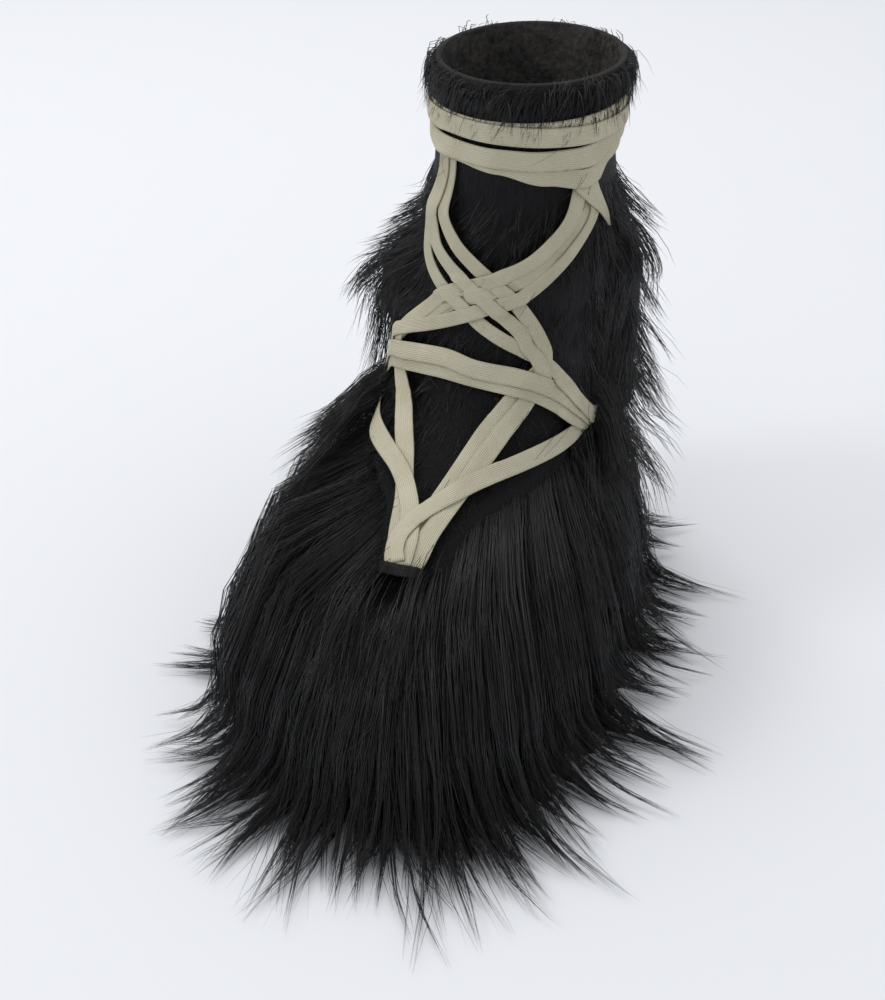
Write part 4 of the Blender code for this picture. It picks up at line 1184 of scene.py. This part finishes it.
def tape_grid(name, route):
    """Angles and heights of the points across and along a tape."""
    angle, z, run = route
    narrow = np.ones(angle.size)
    if name in BESIDE_ORDER:
        narrow = mix(1, WOVEN_WIDTH, ease((level_of(z) - WIDE_BELOW) / NARROW_RUN))
    if name == "tucked_end":
        narrow = np.interp(run / run[-1], (0, 0.25, 1), (0.9, 1.70, 0.06))
    turn, rise = across_step(angle, z, DRAWN_WIDTH / 2)
    places = narrow[:, None] * ACROSS[None, :]
    return angle[:, None] + turn[:, None] * places, z[:, None] + rise[:, None] * places


def resting(angles, heights):
    """Lift of a tape's middle that lies on the pelt alone."""
    level = level_of(heights)
    flat = lace_bed(angles, np.clip(heights, 0, height(1.90)), short_pile)
    bed = mix(lace_bed(angles, heights), flat, ease((level - 0.92) / 0.10))
    press = ease((level - PRESS_FROM) / PRESS_RUN)
    return bed * mix(1, PRESSED_BED, press) + mix(LACE_GAP, PRESSED_GAP, press) + TAPE_BODY / 2


def touching(grids, bases):
    """Pairs of points where one tape lies on another."""
    pairs = []
    for upper, top in bases.items():
        for under, base in bases.items():
            if upper == under:
                continue
            level = level_of(grids[upper][1]).ravel()
            on = lies_on(under, upper, level)
            if not on.any():
                continue
            beside = any({upper, under} <= set(side) for side in (RIGHT_RISING, LEFT_RISING))
            away = np.linalg.norm(top[:, None, :] - base[None, :, :], axis=2)
            nearest = away.argmin(1)
            near = np.flatnonzero((away.min(1) < (BESIDE_TOUCH if beside else TOUCH)) & on)
            crossing = not beside and {upper, under} <= set(BESIDE_ORDER)
            woven = crossing & (level[near] > WEAVE_FROM)
            for kind in (False, True):
                chosen = near[woven == kind]
                if chosen.size:
                    pairs.append((upper, chosen, under, nearest[chosen], kind))
    return pairs


def raise_over(lift, under_lift, pair, step):
    upper, high, under, low, _ = pair
    top, base = lift[upper].reshape(-1), under_lift[under].reshape(-1)
    top[high] = np.maximum(top[high], base[low] + step)


def eased_along(lift):
    """A tape's lift after it has straightened a little along and across."""
    long = np.pad(lift, ((1, 1), (0, 0)), mode="edge")
    lift = 0.5 * lift + 0.25 * (long[:-2] + long[2:])
    wide = np.pad(lift, ((0, 0), (1, 1)), mode="edge")
    return 0.5 * lift + 0.25 * (wide[:, :-2] + wide[:, 2:])


def settle(routes):
    """Lifts of all tapes, each pulled tight over the pelt and over the tapes under it."""
    grids = {name: tape_grid(name, route) for name, route in routes.items()}
    rest = {name: resting(*grid) for name, grid in grids.items()}
    for name in BESIDE_ORDER:
        level = level_of(grids[name][1])
        zone = ease((level - WEAVE_FROM + 0.06) / 0.06) * ease((WEAVE_TO + 0.06 - level) / 0.06)
        rest[name] += BESIDE_STEP * (BESIDE_ORDER.index(name) % 3) * zone
    bases = {name: over(*grid, rest[name]).reshape(-1, 3) for name, grid in grids.items()}
    pairs = touching(grids, bases)
    lift = {name: value.copy() for name, value in rest.items()}
    for turn in range(ROUNDS):
        if turn < ROUNDS - LAST_ROUNDS:
            lift = {name: np.maximum(rest[name], eased_along(value)) for name, value in lift.items()}
        for name in WRAP_TURNS:
            lift[name] = np.maximum(lift[name], eased_along(lift[name]))
        for pair in pairs:
            if not pair[4]:
                raise_over(lift, lift, pair, STEP_UP)
                np.minimum(lift[pair[0]], rest[pair[0]] + MOST_UP * STEP_UP, out=lift[pair[0]])
    flat = {name: value.copy() for name, value in lift.items()}
    for pair in pairs:
        if pair[4]:
            raise_over(lift, flat, pair, WOVEN_STEP)
    for name in BESIDE_ORDER:
        lift[name] = np.maximum(lift[name], eased_along(lift[name]))
    return grids, lift


def tape_uv(run, profile):
    """Distance along a tape and place across it, 0 to 1, of each point."""
    shape = (run.size, len(profile))
    across = np.broadcast_to(profile[:, 0] * 0.5 + 0.5, shape)
    return np.stack([np.broadcast_to(run[:, None], shape), across], 2)


def make_tape(name, route, grid, lift, material):
    run = route[2]
    profile = np.array(TAPE_PROFILE)

    def spread(values):
        return np.stack([np.interp(profile[:, 0], ACROSS, row) for row in values])

    body = 0.5 * TAPE_BODY * profile[None, :, 1]
    points = over(spread(grid[0]), spread(grid[1]), spread(lift) + body)
    uv = tape_uv(run, profile)
    if name in WRAP_TURNS:
        points, uv = points[:-1], uv[:-1]
        faces = grid_faces(run.size - 1, len(profile), True, True)
    else:
        faces = tube_faces(run.size, len(profile))
    return mesh_piece(name, points.reshape(-1, 3), faces, [material], uv.reshape(-1, 2))


def make_loop(name, material):
    """A sewn webbing loop over the tapes, its legs down to the skin."""
    angle, level, upright = LOOPS[name]
    z = float(height(level))
    half = LOOP_OPENING / 2 + LOOP_THICKNESS / 2
    edge_turn = 0.0 if upright else math.degrees(half / (SHAFT_WIDTH / 2))
    edge_rise = half if upright else 0.0
    crown = float(lace_bed(np.array([angle], float), np.array([z]))[0]) + LOOP_ROOM + LOOP_THICKNESS / 2
    t = np.radians(np.linspace(-90, 90, 25))
    side = signed_power(np.sin(t), 0.35)
    lift = PELT_GAP + (crown - PELT_GAP) * np.clip(signed_power(np.cos(t), 0.30), 0, 1)
    path = over(angle + side * edge_turn, z + side * edge_rise, lift)
    way_out = outward(np.array([angle], float), np.array([z]))[0]
    way = unit(np.cross(path[-1] - path[0], way_out))
    tangent = unit(np.gradient(path, axis=0))
    out = unit(np.cross(tangent, way[None, :]))
    if (out[12] * way_out).sum() < 0:
        out = -out
    profile = np.array(TAPE_PROFILE)
    points = path[:, None, :] + way * (profile[None, :, :1] * LOOP_BAND / 2)
    points = points + out[:, None, :] * (profile[None, :, 1:] * LOOP_THICKNESS / 2)
    faces = tube_faces(len(path), len(profile))
    uv = tape_uv(np.linspace(0, 0.04, len(path)), profile).reshape(-1, 2)
    return mesh_piece(name + "_webbing", points.reshape(-1, 3), faces, [material], uv)


def faced_out(thing):
    """Turn a closed piece's faces outwards by the sign of its volume."""
    mesh = thing.data
    mesh.calc_loop_triangles()
    co = np.zeros(len(mesh.vertices) * 3)
    mesh.vertices.foreach_get("co", co)
    co = co.reshape(-1, 3)
    corners = np.zeros(len(mesh.loop_triangles) * 3, np.int32)
    mesh.loop_triangles.foreach_get("vertices", corners)
    a, b, c = (co[corners[i::3]] for i in range(3))
    if (a * np.cross(b, c)).sum() < 0:
        mesh.flip_normals()
    return thing


STRAYS = 12


def grow_strays(routes, material):
    """Single hairs that lie over the tapes' edges."""
    chance = np.random.default_rng(59)
    steps = np.linspace(0, 1, 7)
    angles, heights = [], []
    for name, (angle, z, _) in routes.items():
        chosen = chance.integers(0, angle.size, size=STRAYS)
        angles.append(angle[chosen] + chance.normal(size=STRAYS) * 5)
        heights.append(z[chosen] + 0.008 + chance.normal(size=STRAYS) * 0.006)
    angle, z0 = np.concatenate(angles), np.concatenate(heights)
    count = angle.size
    lean = slant_of(angle, level_of(z0)) + chance.normal(size=count) * 0.7
    length = mix(0.016, 0.036, chance.random(count))
    turned, z, _ = shaft_flow(angle, z0, length, np.ones(count), lean, steps)
    hump = np.sin(steps * math.pi * 0.85) ** 0.6
    lift = shaft_pile(turned, z) * 0.6 + hump[None, :] * mix(0.003, 0.0068, chance.random(count))[:, None]
    points = bent(over(turned, z, lift), chance, 0.0009, steps)
    girth = rod_girth(mix(0.00007, 0.00012, chance.random(count)), steps)
    marks = hair_marks(chance, np.arange(count), steps, np.full(count, 0.4))
    return strands("hair_strays", points, girth, marks, material)


# Camera at the photograph's place and angle, a little wider so that the collar is in view
CAMERA_PLACE = (0.16481, -0.74045, 0.52811)
CAMERA_AZIMUTH = 18.01
CAMERA_ELEVATION = 36.51
SENSOR = 36.0
FOCAL_PIXELS = 1376.0
FRAME_PIXELS = 1000.0
SHIFT = (0.050, 0.087)


def make_camera():
    data = bpy.data.cameras.new("camera")
    data.sensor_width = SENSOR
    data.lens = FOCAL_PIXELS / FRAME_PIXELS * SENSOR
    data.shift_x, data.shift_y = SHIFT
    camera = bpy.data.objects.new("camera", data)
    camera.location = CAMERA_PLACE
    camera.rotation_euler = (math.radians(90 - CAMERA_ELEVATION), 0, math.radians(CAMERA_AZIMUTH))
    bpy.context.scene.collection.objects.link(camera)
    bpy.context.scene.camera = camera


def make_light(name, place, aim, size, power, colour):
    data = bpy.data.lights.new(name, "AREA")
    data.shape = "SQUARE"
    data.size = size
    data.energy = power
    data.color = colour
    light = bpy.data.objects.new(name, data)
    light.location = place
    light.rotation_euler = (Vector(aim) - Vector(place)).to_track_quat("-Z", "Y").to_euler()
    bpy.context.scene.collection.objects.link(light)


def make_studio():
    """Pale floor, an even pale surround and two large soft lights."""
    world = bpy.data.worlds.new("studio")
    world.use_nodes = True
    background = world.node_tree.nodes["Background"]
    background.inputs["Color"].default_value = (0.965, 0.975, 1.0, 1)
    background.inputs["Strength"].default_value = 0.68
    bpy.context.scene.world = world
    make_light("overhead", (-0.8, 0.9, 3.4), (0, -0.1, 0.1), 1.8, 44.0, (1.0, 1.0, 0.99))
    make_light("left_front", (-2.6, -1.6, 2.4), (0, -0.1, 0.12), 1.0, 26.0, (0.98, 0.99, 1.0))
    half = 6.0
    corners = np.array([(-half, -half, 0), (half, -half, 0), (half, half, 0), (-half, half, 0)])
    floor = mesh_piece("floor", corners, [(0, 1, 2, 3)], [floor_material()], smooth=False)


def paint_node(name, material):
    """Give a carried-over solid its finish."""
    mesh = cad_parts[name].data
    mesh.materials.clear()
    mesh.materials.append(material)


def carry(piece, slot, *nodes):
    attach(piece, "root")
    if nodes:
        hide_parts(*nodes)


def main():
    bpy.context.scene.view_settings.view_transform = "Standard"
    make_camera()
    make_studio()
    hair, underfur = hair_material(), pelt_material()
    tape, webbing = tape_material(), webbing_material()
    paint_node("outsole", rubber_material())
    paint_node("insole", felt_material())
    carry(faced_out(make_upper(suede_material(), lining_material())), "skin", "upper")
    carry(faced_out(underfur_foot(underfur)), "hair", "fur_foot")
    carry(faced_out(underfur_shaft(underfur)), "hair", "fur_shaft")
    for piece in [*grow_foot(hair), *grow_pelts(hair), grow_tufts(hair)]:
        carry(piece, "hair")
    straps = {name: fine_route(points) for name, points in STRAPS.items()}
    routes = {**straps, **{name: wrap_route(name) for name in WRAP_TURNS}}
    grids, lifts = settle(routes)
    for name, route in routes.items():
        node = "lace_wrap" if name in WRAP_TURNS else "lace"
        carry(faced_out(make_tape(name, route, grids[name], lifts[name], tape)), "tape", node)
    for name in LOOPS:
        carry(faced_out(make_loop(name, webbing)), "webbing", name)
    carry(grow_strays(straps, hair), "hair")


main()
